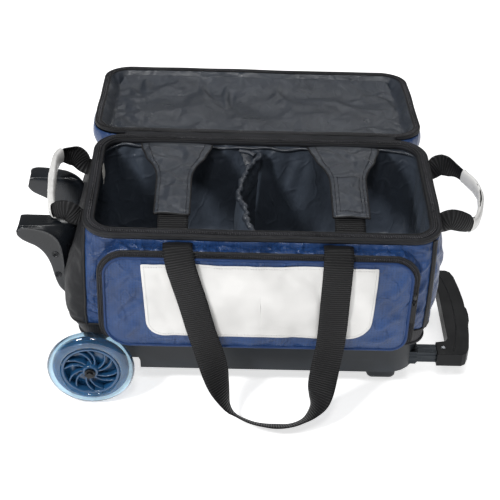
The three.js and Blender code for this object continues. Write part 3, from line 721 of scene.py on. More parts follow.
def edge_fade(grid, reach):
    """1 over a grid's middle, falling to 0 over that many points at its border."""
    n, m = grid.shape[:2]
    i = np.minimum(np.arange(n), np.arange(n)[::-1]) / reach
    j = np.minimum(np.arange(m), np.arange(m)[::-1]) / reach
    return np.clip(i, 0, 1)[:, None] * np.clip(j, 0, 1)[None, :]


def puffed(grid, amount):
    """A grid swollen most in its middle."""
    n, m = grid.shape[:2]
    swell = np.outer(np.sin(np.linspace(0, math.pi, n)) ** 0.5, np.sin(np.linspace(0, math.pi, m)) ** 0.6)
    return pushed(grid, swell * amount)


PANEL_FOLDS = {
    "front": [[-241, 196, -222, 186, 4, 4.4], [-242, 182, -221, 170, 4, 4.6], [-241, 167, -220, 154, 4, 4.4],
              [-240, 212, -222, 238, 5, 4.4], [-236, 244, -212, 268, 5, 4.0], [236, 264, 208, 276, 4, 4.4],
              [235, 254, 216, 230, 5, 5.0], [234, 228, 221, 196, 4, 4.4], [233, 192, 221, 158, 4, 4.0],
              [-200, 270, -150, 275, 4, 2.0], [-60, 276, 0, 271, 4, 2.0], [40, 272, 90, 277, 4, 2.0],
              [130, 276, 190, 270, 4, 2.2]],
    "right": [[-112, 262, -78, 190, 6, 3.0], [-84, 240, -40, 160, 7, 2.8], [-30, 262, 10, 200, 8, 2.6],
              [30, 250, 70, 170, 8, 2.8], [84, 262, 112, 190, 6, 3.0], [-100, 170, -60, 140, 5, 2.4]],
    "back": [[-200, 258, -130, 170, 9, 3.0], [-60, 250, -110, 160, 8, 2.8], [70, 258, 20, 170, 9, 3.0],
             [150, 255, 200, 165, 8, 3.0], [-20, 160, 90, 148, 6, 2.2], [-150, 150, -60, 142, 6, 2.0]],
    "left": [[-100, 255, -84, 170, 6, 2.4], [-30, 240, 10, 180, 8, 2.4], [30, 230, 20, 160, 8, 2.0],
             [88, 250, 104, 180, 6, 2.2]],
}
# Each panel's side, node, material, slot, swell, and the axis that its folds run along.
PANELS = [("front", "panel_front", NAVY, "navy_fabric", 0.5, 0),
          ("right", "panel_right_end", NAVY, "navy_fabric", 2.5, 1),
          ("back", "panel_back", NAVY, "navy_fabric", 2.5, 0),
          ("left", "panel_left_end", BLACK_NYLON, "black_fabric", 1.0, 1)]
for side, node, look, slot, puff, axis in PANELS:
    grid = puffed(panel_grid(side, BAND_TOP + 0.5, PANEL_TOP, 4.0), puff)
    height = ripple(grid, 26, 0.9, 3) + folds(grid[..., [axis, 2]], PANEL_FOLDS[side])
    grid = pushed(grid, height * edge_fade(grid, 3))
    piece = build(f"{side}_panel_fabric", grid_shape(grid), look, slot, replaces=[node])
    wrinkle(piece, rim_of(grid), 0.022, 2.2, pressure=0.6)
    thicken(piece, 2.6)


def kick_band():
    """The black band over the tray, a little loose at its lower hem."""
    levels = np.linspace(BAND_LOW + 0.3, BAND_TOP, 8)
    band = np.stack([at_height(body_ring(z, 0.2, 280), z) for z in levels], 1)
    band = pushed(band, ripple(band, 30, 0.8, 5))
    piece = build("kick_band_fabric", grid_shape(band, wrap_n=True), BALLISTIC, "black_fabric",
                  replaces=["kick_band"])
    thicken(piece, 2.4)


kick_band()


def seam_line(side, end):
    """The vertical seam between a long panel and an end panel."""
    levels = np.linspace(BAND_TOP, PANEL_TOP - 0.5, 32)
    return resampled([np.append(panel_path(z, side)[end], z) for z in levels], step=4)


def body_seams():
    """Piping down the corner seams and round both edges of the band."""
    seams = []
    for side, front in (("front", -1), ("back", 1)):
        for end in (0, -1):
            line = seam_line(side, end)
            right = (end == -1) == (side == "front")
            facing = np.array([0.6 if right else -0.6, 0.8 * front, 0])
            seams.append(tube(line + facing * 0.6, 1.7, ref=facing))
            if right:
                strip = line + [3.6, -1.6 * front, 0]
                seams.append(tube(strip, 3.4, ref=facing, flat=0.35, sides=10))
    build("body_seam_piping", merged(*seams), PIPING, "zip_and_binding")
    low_seam = at_height(body_ring(BAND_TOP + 0.2, -0.4, 300), BAND_TOP + 0.2)
    build("band_seam_piping", tube(low_seam, 1.7, closed=True), PIPING, "zip_and_binding")
    hem = at_height(body_ring(BAND_LOW + 0.6, -0.2, 300), BAND_LOW + 0.6)
    build("band_hem_binding", tube(hem, 1.8, closed=True, flat=1.6), BINDING, "zip_and_binding")


body_seams()


# ------------------------------------------------------------------ inside of the body

LINING_INSET = 10.5
TRAY_INSET = 8.0


def lining_ring(z, count):
    """The lining's outline: the tray's inside low down, and the body's inside higher up."""
    low, _ = rounded(-257.5, 238.5, -116, 116, (45, 30, 30, 45), 3.0, grow=-TRAY_INSET)
    upper = body_ring(z, LINING_INSET, count)
    start = int(np.argmin(np.linalg.norm(low - upper[0], axis=1)))
    lower = resampled(np.roll(low, -start, 0), count=count, closed=True, dims=2)
    share = float(np.clip((z - 104) / 22, 0, 1))
    return lower * (1 - share) + upper * share


BACK_WALL_FOLDS = [[-215, 274, -205, 190, 6, 3.4], [-186, 277, -168, 205, 8, 3.0],
                   [-62, 277, -72, 200, 7, 3.4], [18, 277, 30, 190, 7, 3.4], [58, 272, 48, 190, 6, 3.0],
                   [184, 277, 178, 180, 6, 3.8], [204, 277, 206, 180, 5, 3.6], [-140, 270, -100, 255, 6, 2.6],
                   [90, 268, 160, 274, 5, 2.4]]
RIGHT_WALL_FOLDS = [[62, 272, 88, 170, 7, 3.4], [20, 277, 38, 160, 8, 3.2], [-36, 277, -58, 160, 8, 3.4],
                    [92, 274, 98, 180, 5, 3.4]]


def inner_lining():
    """The loose lining that hangs from the rim, with folds in its back and right walls."""
    levels = np.linspace(99.6, 284.5, 38)
    inner = np.stack([at_height(lining_ring(z, 250), z) for z in levels], 1)
    below_rim = np.clip((285 - inner[..., 2]) / 60, 0, 1)
    height = ripple(inner * [1, 1, 0.25], 34, 2.4, 8) * below_rim
    height += folds(inner[..., [0, 2]], BACK_WALL_FOLDS) * (inner[..., 1] > 100)
    height += folds(inner[..., [1, 2]], RIGHT_WALL_FOLDS) * (inner[..., 0] > 205)
    inner_normal = normals_of(inner)
    inner_normal *= np.sign((inner_normal[..., :2] * inner[..., :2]).sum(-1, keepdims=True))
    inner -= inner_normal * np.clip(height, -2.0, 5.0)[..., None]
    # The walls use the lighter satin copy, with light painted in against the shade inside the body.
    lining = build("inner_lining", grid_shape(inner, wrap_n=True), INSIDE_SATIN_PAINTED_LIGHT, "lining",
                   replaces=["lining_wall"])
    wrinkle(lining, rim_of(inner, wrap_n=True), 0.03, 4.2, bend=0.08, gravity=0.3)
    thicken(lining, 1.0, offset=0)


inner_lining()


def lining_hem():
    """The soft roll of the lining's top edge."""
    hem = at_height(lining_ring(277.0, 300), 277.0)
    hem -= np.cross(tangents(hem, True), UP) * 1.5
    hem[:, 2] += ripple(hem, 30, 2.0, 41)
    build("lining_top_roll", tube(hem, 2.6 + ripple(hem, 18, 0.7, 42), closed=True), SATIN, "lining")


lining_hem()


# How far the four outermost rows of a cradle's cover drop at its edge.
EDGE_DROP = np.array([9.0, 3.5, 1.0, 0.0])


def cradle_cover(name, x0, x1, ball_x, node):
    """A foam block's fabric cover: flat top, round seat for a ball, and corners clear of the wheel wells."""
    grid = rounded_grid(x0, x1, -106, 106, 22, 4.0)
    d = np.linalg.norm(grid - [ball_x, 0], axis=-1)
    seat = BALL_Z - np.sqrt(np.maximum(BALL_RADIUS ** 2 - d ** 2, 0))
    z = np.where(d < BALL_RADIUS, np.minimum(seat, CRADLE_TOP), CRADLE_TOP)
    rows, columns = np.indices(z.shape)
    from_edge = np.minimum(np.minimum(rows, rows[::-1]), np.minimum(columns, columns[:, ::-1]))
    z = z - EDGE_DROP[np.minimum(from_edge, 3)]
    points, faces = grid_shape(np.dstack([grid, z + ripple(np.dstack([grid, z]), 18, 0.5, 2)]))
    in_well = (points[:, 0] < -168) & (np.abs(points[:, 1]) > 86)
    piece = build(name, (points, faces[~in_well[faces].any(1)]), FOAM, "foam", replaces=[node])
    thicken(piece, 5.0)


cradle_cover("left_ball_seat", -226, -27, -144, "cradle_left")
cradle_cover("right_ball_seat", -15, 226, 102, "cradle_right")

BOW = [[-6, -118], [-10, -112], [-22, -80], [-31, -35], [-33, 0], [-29, 35], [-18, 76], [-8, 100], [-6, 110]]


def divider_wall():
    """A padded wall that bows to the left. Returns its grid."""
    bow = resampled(smoothed(BOW, 60), step=5.0, dims=2)
    wall = np.stack([at_height(bow, z) for z in np.linspace(100.5, 272, 34)], 1)
    lean = np.clip((wall[..., 2] - 170) / 100, 0, 1)
    wall[..., 0] += ripple(wall * [0, 1, 0.5], 38, 4.0, 4) * lean + lean * 2.0
    # The divider uses the lighter satin copy, with light painted in against the shade inside the body.
    divider = build("divider_fabric", grid_shape(wall), INSIDE_SATIN_PAINTED_LIGHT, "lining", replaces=["divider"])
    wrinkle(divider, rim_of(wall), 0.03, 4.0, bend=0.1)
    thicken(divider, 4.0, offset=0)
    return wall


def divider_edge(wall):
    """The divider's soft rolled edge, with a fold where it meets the back wall."""
    top = resampled(wall[:, -1] + [0, 0, 0.8], step=2.5)
    top[:, 2] += ripple(top, 13, 1.8, 9)
    top[:, 0] += ripple(top, 9, 1.8, 10)
    fold = smoothed([[-9, 103, 273], [-15, 108, 274], [-24, 112, 274.5], [-31, 116, 273]], 18)
    rolls = merged(tube(top, 4.0 + ripple(top, 7, 1.3, 11), sides=12), tube(fold, 3.6, sides=10))
    build("divider_rolled_edge", rolls, SATIN, "lining")
    foot = (fold + resampled(top[:-13:-1], count=18)) / 2 - [0, 0, 22]
    drop = np.linspace(0, 1, 5)[None, :, None]
    patch = fold[:, None] * (1 - drop) + foot[:, None] * drop
    piece = build("divider_fold", grid_shape(patch), SATIN, "lining")
    thicken(piece, 1.6, offset=0)


divider_edge(divider_wall())


# ------------------------------------------------------------------ rim, lid and hinge

def edge_ring(half_x, mid_x, wobble):
    """A slightly uneven outline at zero height, and its outward directions."""
    flat, normal = rounded(mid_x - half_x, mid_x + half_x, -RIM_HALF_Y, RIM_HALF_Y, RIM_CORNER, 3.0)
    path, out = at_height(flat, 0), at_height(normal, 0)
    path += out * ripple(path, 60, wobble, 12)[:, None]
    path[:, 2] += ripple(path, 70, wobble, 13)
    return path, out


def tooth_rows(path, out, up, gap, pitch, size, closed=True):
    """Two rows of coil teeth side by side, each half a gap from the path."""
    return merged(*[bricks(path + out * d, out, up, pitch, size, closed) for d in (-gap / 2, gap / 2)])


# Profiles of the rim and the lid are rows of (distance out from the outline, height).
RIM_PROFILE = [(0, 281.6), (0.7, 283.6), (0.5, 286.2), (-1.0, 288.2), (-3.0, 289.2), (-4.4, 288.9),
               (-5.2, 288.3), (-6.4, 288.8), (-8.0, 289.0), (-9.6, 288.8), (-10.8, 288.3), (-11.6, 289.0),
               (-13.4, 289.6), (-15.2, 288.8), (-16.2, 286.4), (-15.8, 283.0), (-14, 281.4), (-7, 281.1)]


def rim_parts():
    """The bound rim of the bag with its half of the zip."""
    rim_path, rim_out = edge_ring(RIM_HALF_X, 0, 0.5)
    shape = grid_shape(sweep(rim_path, rim_out, UP, RIM_PROFILE), True, True)
    rim = build("rim_binding_fabric", shape, BINDING, "zip_and_binding", replaces=["rim_binding"], solid=True)
    coil_line = rim_path + rim_out * -8.0 + UP * 288.9
    coil = tooth_rows(coil_line, rim_out, UP, COIL_GAP, COIL_PITCH, COIL_TOOTH)
    build("rim_coil", coil, COIL, "zip_and_binding")
    build("rim_piping", merged(tube(rim_path + rim_out * -0.3 + UP * 287.8, 1.2, closed=True),
                               tube(rim_path + rim_out * -14.6 + UP * 289.4, 1.1, closed=True)),
          PIPING, "zip_and_binding")


rim_parts()


LID_BOX = np.array([LID_X - LID_HALF_X, LID_X + LID_HALF_X, -RIM_HALF_Y, RIM_HALF_Y])
INWARD = np.array([1, -1, 1, -1])
lid_path, lid_out = edge_ring(LID_HALF_X, LID_X, 0.8)


def lid_piece(name, shape, look, slot, **extra):
    """A piece of the lid, shaped with the lid shut and turned to where it lies open."""
    points, faces = shape
    return build(name, (open_lid(points), faces), look, slot, body="lid", **extra)


SIDE_PROFILE = [(0.6, 297.6), (1.6, 302), (1.8, 309), (0.8, 316), (-1.0, 322), (-3.5, 327), (-7.5, 331.5),
                (-13.0, 334.2), (-19.0, 335.4)]


def lid_side():
    """The lid's side wall."""
    side = sweep(lid_path, lid_out, UP, SIDE_PROFILE)
    side = pushed(side, ripple(side, 40, 1.4, 14))
    piece = lid_piece("lid_side_fabric", grid_shape(side, True), NAVY, "navy_fabric", replaces=["lid_shell"])
    wrinkle(piece, rim_of(side, wrap_n=True), 0.02, 2.5)
    thicken(piece, 2.0, offset=0)


def lid_top():
    """The lid's slack top and the piping round it."""
    cap = rounded_grid(*(LID_BOX + 17 * INWARD), 28, 6.0)
    swell = 1 - np.maximum(np.abs((cap[..., 0] - LID_X) / 240), np.abs(cap[..., 1] / 118)) ** 4
    waves = ripple(np.dstack([cap, cap[..., 0] * 0]), 60, 1.6, 15)
    cap = np.dstack([cap, LID_TOP_Z + (2.0 + waves) * swell])
    piece = lid_piece("lid_top_fabric", grid_shape(cap), NAVY, "navy_fabric")
    wrinkle(piece, rim_of(cap), 0.018, 4.0)
    thicken(piece, 2.0, offset=0)
    edge = tube(lid_path + lid_out * -16.4 + UP * (LID_TOP_Z + 0.7), 1.9, closed=True)
    lid_piece("lid_top_piping", edge, NAVY_PIPING, "navy_fabric")


lid_side()
lid_top()


RING_PROFILE = [(0.4, 296.8), (1.0, 294.4), (0.2, 292.2), (-1.4, 291.3), (-2.8, 291.6), (-4.4, 292.0),
                (-6.0, 292.0), (-7.2, 291.6), (-8.4, 291.4), (-9.4, 292.6), (-9.6, 297.0)]


def lid_zip():
    """The lid's half of the zip."""
    ring = lid_piece("lid_zip_fabric", grid_shape(sweep(lid_path, lid_out, UP, RING_PROFILE), True, True),
                     BINDING, "zip_and_binding", replaces=["lid_zip"], solid=True)
    coil_line = lid_path + lid_out * -4.8 + UP * 292.0
    coil = tooth_rows(coil_line, lid_out, -UP, COIL_GAP, COIL_PITCH, COIL_TOOTH)
    lid_piece("lid_coil", coil, COIL, "zip_and_binding")
    lid_piece("lid_zip_piping", merged(tube(lid_path + lid_out * -0.4 + UP * 291.7, 1.4, closed=True),
                                       tube(lid_path + lid_out * -8.8 + UP * 291.8, 1.1, closed=True)),
              PIPING, "zip_and_binding")


lid_zip()


INNER_PROFILE = [(-9.2, 292.6), (-10.6, 294.6), (-12.8, 297), (-15.4, 300.5), (-17.6, 304.5), (-19.6, 308.4),
                 (-22.4, 311.2), (-26, 312.4)]


def lid_inner_wall():
    """A steep wall inside the lid, gathered into folds."""
    inner_wall = sweep(lid_path, lid_out, UP, INNER_PROFILE)
    gathers = ripple(inner_wall * [1, 1, 0.3], 15, 1.5, 16) + ripple(inner_wall * [1, 1, 0.2], 42, 2.2, 43)
    inner_wall = pushed(inner_wall, gathers * [0, 0.4, 0.8, 1, 1, 0.9, 0.6, 0.2])
    piece = lid_piece("lid_inner_wall", grid_shape(inner_wall, True), SATIN, "lining")
    thicken(piece, 1.2, offset=0)


lid_inner_wall()


LID_FOLDS = [[-196, -112, -176, -62, 7, 3.2], [-222, -84, -196, -44, 6, 2.8], [-94, -112, -84, -36, 6, 3.2],
             [-58, -108, -48, -10, 5.5, 3.8], [-28, -112, -42, -78, 5, 2.8], [38, -110, 32, -60, 5, 3.0],
             [33, -64, 12, -42, 5, 2.6], [-184, 70, -198, 110, 6, 2.8], [-172, 74, -160, 110, 6, 2.8],
             [-110, 60, -120, 110, 8, 2.0], [126, -70, 170, 10, 12, 2.0], [204, -70, 216, 20, 8, 2.4],
             [160, 60, 176, 108, 7, 2.2], [60, 70, 52, 110, 8, 1.8], [-150, -20, -60, 10, 14, 1.8],
             [20, 10, 110, 40, 16, 1.6]]


def lid_lining():
    """The lid's loose satin floor, which pinches into small folds at its edges."""
    pad = rounded_grid(*(LID_BOX + 23 * INWARD), 24, 4.0)
    u = np.abs(np.linspace(-1, 1, len(pad)))[:, None]
    v = np.abs(np.linspace(-1, 1, len(pad[0])))[None, :]
    middle = (1 - u ** 8) * (1 - v ** 8)
    pinch = np.exp(-((1 - u) / 0.2)) + np.exp(-((1 - v) / 0.3))
    flat3 = np.dstack([pad, np.zeros(pad.shape[:2])])
    pad[..., 1] += 7.0 * np.sign(pad[..., 1]) * v ** 10
    slack = ripple(flat3, 70, 1.8, 17) - folds(pad, LID_FOLDS) + ripple(flat3, 18, 1.8, 18) * pinch
    height = LID_FLOOR_Z - 13.0 * v ** 8 + (slack - 1.6) * middle
    piece = lid_piece("lid_lining_fabric", grid_shape(np.dstack([pad, height])), SATIN, "lining",
                      replaces=["lid_lining"])
    wrinkle(piece, rim_of(pad), 0.02, 3.0, pressure=-0.3, bend=0.05)
    thicken(piece, 1.0, offset=0)


lid_lining()


HINGE_ROWS = [[129.0, 287.2], [131.8, 286.6], [134.4, 286.9], [136.6, 288.4], [138.2, 290.4]]


def hinge_cloth():
    """The fabric that joins the rim to the lid and bends round the hinge line."""
    xs = np.linspace(-207, 207, 84)
    hinge = np.stack([np.column_stack([xs, np.full(84, y), np.full(84, z)]) for y, z in HINGE_ROWS], 1)
    hinge[:, :, 2] += ripple(hinge, 14, 0.5, 19)
    piece = build("hinge_fabric", grid_shape(hinge), BINDING, "zip_and_binding", body=None,
                  replaces=["hinge_tape"])
    return piece


hinge_piece = hinge_cloth()


# ------------------------------------------------------------------ hold-down flaps

def flap_rows(wide, narrow):
    """A flap's middle line as y and z, and its width, from the hinge to the tip."""
    return [[113.6, 284, wide], [108, 288.5, wide], [100, 291.2, wide - 1], [86, 293.6, wide - 5],
            [70, 295.2, wide - 15], [54, 296.4, (wide + narrow) / 2 + 6], [38, 297.0, narrow + 18],
            [22, 297.3, narrow + 7], [6, 297.0, narrow + 1], [-20, 296.0, narrow], [-50, 294.2, narrow],
            [-82, 291, narrow]]


FLAP_FOLDS = {
    "left": [[-42, 104, -28, 46, 7, 2.8], [12, 104, 20, 44, 8, 3.4], [20, 48, 4, 6, 7, 2.2],
             [-14, 16, 6, -20, 6, 1.6], [10, -2, -8, -60, 6, 1.5], [-10, 100, -4, 60, 6, -2.0],
             [36, 90, 44, 50, 6, 2.0]],
    "right": [[-24, 96, 22, 64, 6, 2.6], [-38, 86, 2, 48, 6, 2.8], [32, 100, 0, 58, 6, 2.6],
              [2, 58, -20, 28, 5, 2.2], [22, 62, 26, 22, 6, 2.2], [-8, -20, 10, -60, 6, 1.2],
              [-44, 108, -20, 90, 5, 2.0]],
}


# A flap's cloth is held still behind FLAP_HELD_Y, and its creases grow from FLAP_SMOOTH_Y forwards.
FLAP_HELD_Y, FLAP_SMOOTH_Y, FLAP_EASE = 94.0, 100.0, 12.0


def flap(side, x, wide, narrow, seed):
    """A hold-down flap of soft lining cloth, smooth at its hinge. Returns its piece and its grid's size."""
    line = resampled(smoothed(flap_rows(wide, narrow), 120), step=4.0, dims=2)
    across = np.linspace(-1, 1, 19)
    droop = 2.2 * np.abs(across) ** 2.5
    grid = np.stack([np.column_stack([x + across * w / 2, np.full(19, y), z - droop * (w / wide)])
                     for y, z, w in line], 1)
    middle = (1 - across ** 4)[:, None]
    creases = folds(grid[..., :2] - [x, 0], FLAP_FOLDS[side])
    from_hinge = np.clip((FLAP_SMOOTH_Y - grid[..., 1]) / FLAP_EASE, 0, 1)
    near_hinge = np.flatnonzero(grid[..., 1].ravel() > FLAP_HELD_Y).tolist()
    grid[..., 2] += (ripple(grid, 22, 1.2, seed) + creases) * middle * from_hinge
    name, body = f"{side}_hold_down", f"hold_down_{side}"
    piece = build(name, grid_shape(grid), SATIN, "lining", body=body, replaces=[f"flap_{side}"])
    wrinkle(piece, rim_of(grid) + near_hinge, 0.028, 3.0, bend=0.06)
    thicken(piece, 2.2, offset=0)
    edges = [tube(resampled(edge, step=3), 1.5) for edge in (grid[0], grid[-1], grid[:, -1])]
    build(f"{name}_binding", merged(*edges), PIPING, "zip_and_binding", body=body)
    return piece, grid.shape[:2]


def on_grid(grid, u, v):
    """Points on a grid's surface at shares across and along it."""
    n, m = grid.shape[:2]
    a, b = np.clip(u * (n - 1), 0, n - 1.001), np.clip(v * (m - 1), 0, m - 1.001)
    i, j = a.astype(int), b.astype(int)
    s, t = (a - i)[:, None], (b - j)[:, None]
    return (grid[i, j] * (1 - s) * (1 - t) + grid[i + 1, j] * s * (1 - t)
            + grid[i, j + 1] * (1 - s) * t + grid[i + 1, j + 1] * s * t)


def stitch_run(path, up, lift):
    """A run of thread stitches along a path."""
    path = resampled(path, step=2.0)
    across = unit(np.cross(tangents(path), np.broadcast_to(up, path.shape)))
    return bricks(path + up * lift, across, up, STITCH_PITCH, STITCH)


flaps = {"left": flap("left", -127, 106, 49, 21), "right": flap("right", 124, 106, 51, 22)}


# ------------------------------------------------------------------ straps

def ribbon(rows, width, thickness, cup):
    """A flat strap along rows of x, y, z and the direction across it. Returns its shape, UVs and length."""
    line = resampled(smoothed(rows, len(rows) * 16), step=2.5)
    at = line[:, :3]
    along = tangents(at)
    side = unit(line[:, 3:] - along * (line[:, 3:] * along).sum(1, keepdims=True))
    normal = np.cross(along, side)
    s = np.linspace(-1, 1, 9)
    bulge = thickness / 2 * (1 - np.abs(s) ** 6 * 0.75)
    profile_s = np.concatenate([s, s[::-1]])
    profile_t = np.concatenate([bulge, -bulge[::-1]])
    cupped = cup * (1 - profile_s ** 2)
    points = (at[:, None] + side[:, None] * (profile_s * width / 2)[None, :, None]
              + normal[:, None] * (profile_t + cupped)[None, :, None])
    run = np.concatenate([[0], np.cumsum(np.linalg.norm(np.diff(at, axis=0), axis=1))])
    uv = np.stack(np.broadcast_arrays(profile_s[None] * width / 2, run[:, None]), -1) * MM
    return capped(points), uv.reshape(-1, 2), run[-1] * MM


def strap(name, rows, width, thickness, body, nodes, cup=0.0):
    """A hanging length of webbing."""
    shape, uv, length = ribbon(rows, width, thickness, cup)
    piece = build(name, shape, WEBBING, "webbing", body=body, replaces=nodes, solid=True, uv=uv)


CARRY_WEB, FLAP_WEB, HANDLE_WEB = 41.0, 43.0, 36.0
# The straps' middle lines: x, y, z, and the direction across the webbing, which turns over at the bottom.
FRONT_STRAP = [
    [-116.6, -141.2, 278, 1, 0, 0], [-116.4, -145.5, 278, 1, 0, 0], [-115, -152, 272, 1, 0, 0],
    [-111, -160, 255, 1, 0, 0.05], [-104, -161.6, 230, 1, 0, 0.1], [-94, -162.4, 194, 1, 0, 0.12],
    [-83, -163.5, 150, 1, 0, 0.15], [-72.5, -165.5, 115, 0.98, 0.08, 0.22],
    [-63.5, -170, 85, 0.9, 0.38, 0.18], [-56, -177.5, 60, 0.69, 0.72, -0.02],
    [-48, -186, 41, 0.37, 0.89, -0.26], [-41.5, -192.5, 29, 0.13, 0.89, -0.44],
    [-31, -198.5, 20.5, 0.05, 0.79, -0.62], [-10, -206, 14.5, 0.12, 0.77, -0.63],
    [9, -209.5, 12.3, 0.06, 0.8, -0.6], [29, -211, 12, -0.03, 0.83, -0.56],
    [50, -209, 12.6, -0.1, 0.79, -0.61], [69.5, -202, 17, -0.12, 0.8, -0.59],
    [83, -193.5, 28, -0.25, 0.9, -0.36], [89, -186, 43, -0.68, 0.72, -0.14],
    [92, -178, 64, -0.94, 0.34, 0.02], [96, -169.5, 92, -0.99, 0.09, 0.12],
    [100.5, -164.6, 125, -1, 0, 0.08], [102, -163, 160, -1, 0, 0.03], [102.5, -162, 205, -1, 0, 0],
    [103, -161, 240, -1, 0, 0], [103.3, -158.4, 262, -1, 0, 0], [103.5, -151, 273, -1, 0, 0],
    [103.5, -145.5, 278, -1, 0, 0], [103.5, -141.2, 278, -1, 0, 0]]
REAR_STRAP = [
    [-112, 134.6, 236, 1, 0, 0], [-112, 136.5, 190, 1, 0, 0], [-108, 138, 140, 1, 0, 0.04],
    [-98, 140, 92, 1, 0, 0.15], [-80, 146, 52, 0.9, -0.2, 0.35], [-56, 158, 26, 0.4, -0.8, 0.2],
    [-24, 165, 15.5, 0.05, -0.9, -0.43], [0, 167, 13.5, 0, -0.9, -0.43]]
REAR_STRAP += [[-x, y, z, -across_x, across_y, across_z]
               for x, y, z, across_x, across_y, across_z in REAR_STRAP[-2::-1]]
ROOT = ((-141, 277.9), (-138, 277.8), (-134, 277.4), (-130, 277.0))
FLAP_WEBBING = ((-50, 291.4), (-72, 289.6), (-92, 284.5), (-106, 274.5), (-112, 260), (-114, 243))
strap("front_carry_strap", FRONT_STRAP, CARRY_WEB, 1.9, "strap_front", ["carry_strap_front"],
      cup=0.8)
strap("rear_carry_strap", REAR_STRAP, CARRY_WEB, 1.9, "strap_rear", ["carry_strap_rear"],
      cup=0.8)
for side, x in (("left", -116.6), ("right", 103.5)):
    strap(f"front_strap_root_{side}", [[x, y, z, 1, 0, 0] for y, z in ROOT], CARRY_WEB, 2.2, "bag",
          [f"strap_root_{side}"])
for side, x in (("left", -125), ("right", 122)):
    strap(f"hold_down_webbing_{side}", [[x, y, z, 1, 0, 0] for y, z in FLAP_WEBBING], FLAP_WEB, 1.4, "bag",
          [f"flap_webbing_{side}"])

# The end handles' middle lines, with how wide the folded webbing stands.
RIGHT_HANDLE = [[247, 73, 271, 28], [254.5, 75, 272.5, 30], [265, 76, 280.5, 36], [274, 75, 282.4, 35],
                [284, 71, 281.5, 30], [293, 63, 280, 20], [304, 46, 278, 16], [315, 26, 275.5, 16],
                [319.5, 4, 272.5, 16], [316.5, -20, 268.5, 16], [309.5, -42, 265, 16],
                [299, -57, 266.5, 20], [288, -64, 272, 29], [267, -67, 280, 35], [254.5, -67, 272.5, 30],
                [247, -67, 271, 28]]
LEFT_HANDLE = [[-248, 71, 267, 27], [-261.5, 73.5, 269.5, 29], [-272, 75, 280, 34],
               [-281, 73.5, 285.5, 32], [-295.5, 66.5, 289, 21], [-302.5, 50, 289, 16],
               [-303.5, 18, 286, 16], [-302.5, -10, 281.5, 16], [-300, -36, 276.5, 16],
               [-296.5, -54, 274.5, 18], [-287, -63, 277.5, 28], [-273, -67, 279.5, 33],
               [-262, -67, 270, 29], [-248, -67, 267, 27]]
# Where each light sleeve starts and ends, as shares of its handle.
SLEEVE_SPAN = {"right": (0.265, 0.775), "left": (0.245, 0.785)}
HANDLE_STEP = 2.5


def folded_angle(share):
    """Half the angle of an arc whose chord is that share of its length."""
    angle = np.linspace(1e-3, math.pi * 0.95, 400)
    return np.interp(-np.asarray(share), -np.sin(angle) / angle, angle)


def upright_frame(path, outward):
    """Directions along a path, up across it, and away from the bag."""
    along = tangents(path)
    side = unit(UP - along * (along @ UP)[:, None])
    return side, unit(np.cross(along, side)) * outward


def handle_webbing(name, line, outward):
    """Webbing that bends to an arc across its width, and folds flatter where the sleeve holds it."""
    at, width = line[:, :3], np.clip(line[:, 3], 12, HANDLE_WEB - 0.1)
    side, normal = upright_frame(at, outward)
    half = folded_angle(width / HANDLE_WEB)
    radius = HANDLE_WEB / 2 / half
    s = np.linspace(-1, 1, 13)
    turn = s[None] * half[:, None]
    press = np.interp(width, [18, 34], [0.28, 1.0])[:, None]
    skin = []
    for lift in (0.9, -0.9):
        r = radius[:, None] + lift
        depth = (np.cos(turn) * r - (radius * (1 + np.cos(half)) / 2)[:, None]) * press
        skin.append(at[:, None] + side[:, None] * (np.sin(turn) * r)[..., None]
                    - normal[:, None] * depth[..., None])
    points = np.concatenate([skin[0], skin[1][:, ::-1]], 1)
    run = np.arange(len(points)) * HANDLE_STEP
    u = np.concatenate([s, s[::-1]]) * HANDLE_WEB / 2
    uv = np.stack(np.broadcast_arrays(u[None], run[:, None]), -1).reshape(-1, 2) * MM
    piece = build(f"{name}_handle_webbing", capped(points), WEBBING, "webbing",
                  body=None, replaces=[f"end_handle_{name}"], solid=True, uv=uv)
    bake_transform(piece)


def handle_sleeve(name, line, outward):
    """The light sleeve over the middle of an end handle, with its seam underneath."""
    first, last = (int(share * len(line)) for share in SLEEVE_SPAN[name])
    core = resampled(line[first:last, :3], step=HANDLE_STEP)
    side, normal = upright_frame(core, outward)
    t = np.linspace(0, 1, len(core))
    angle = np.linspace(0, 2 * math.pi, 24, endpoint=False)
    c, sn = np.cos(angle), np.sin(angle)
    tall = 10.0 + 0.7 * np.sin(t * 9) + 0.8 * (t < 0.04) + 0.8 * (t > 0.96)
    deep = 4.3 + 0.25 * np.cos(t * 13)
    shape_up = np.sign(sn) * np.abs(sn) ** 0.8
    shape_out = np.sign(c) * np.abs(c) ** 0.7
    skin = (core[:, None] + side[:, None] * (shape_up[None] * tall[:, None])[..., None]
            + normal[:, None] * (shape_out[None] * deep[:, None])[..., None])
    skin += unit(skin - core[:, None]) * ripple(skin, 9, 0.5, 30)[..., None]
    sleeve = build(f"{name}_handle_sleeve", grid_shape(skin, False, True), VINYL_LOOK, "light_vinyl",
                   body=f"end_handle_{name}", replaces=[f"end_grip_{name}"])
    thicken(sleeve, 1.4)
    seam = core - side * (tall + 0.4)[:, None]
    build(f"{name}_sleeve_seam", tube(seam, 1.0, ref=np.array([1.0, 0.2, 0])), VINYL_LOOK, "light_vinyl",
          body=f"end_handle_{name}")


for name, rows, outward in (("right", RIGHT_HANDLE, 1), ("left", LEFT_HANDLE, -1)):
    line = resampled(smoothed(rows, 240), step=HANDLE_STEP)
    handle_webbing(name, line, outward)
    handle_sleeve(name, line, outward)


# ------------------------------------------------------------------ front pocket

def pocket_ring(step):
    """The pocket's outline in the plane of Y = 0, and its outward directions."""
    flat, normal = rounded(*POCKET, POCKET_RADII, step)
    return at_height(flat, 0)[:, [0, 2, 1]], at_height(normal, 0)[:, [0, 2, 1]]


outline, outline_out = pocket_ring(3.0)


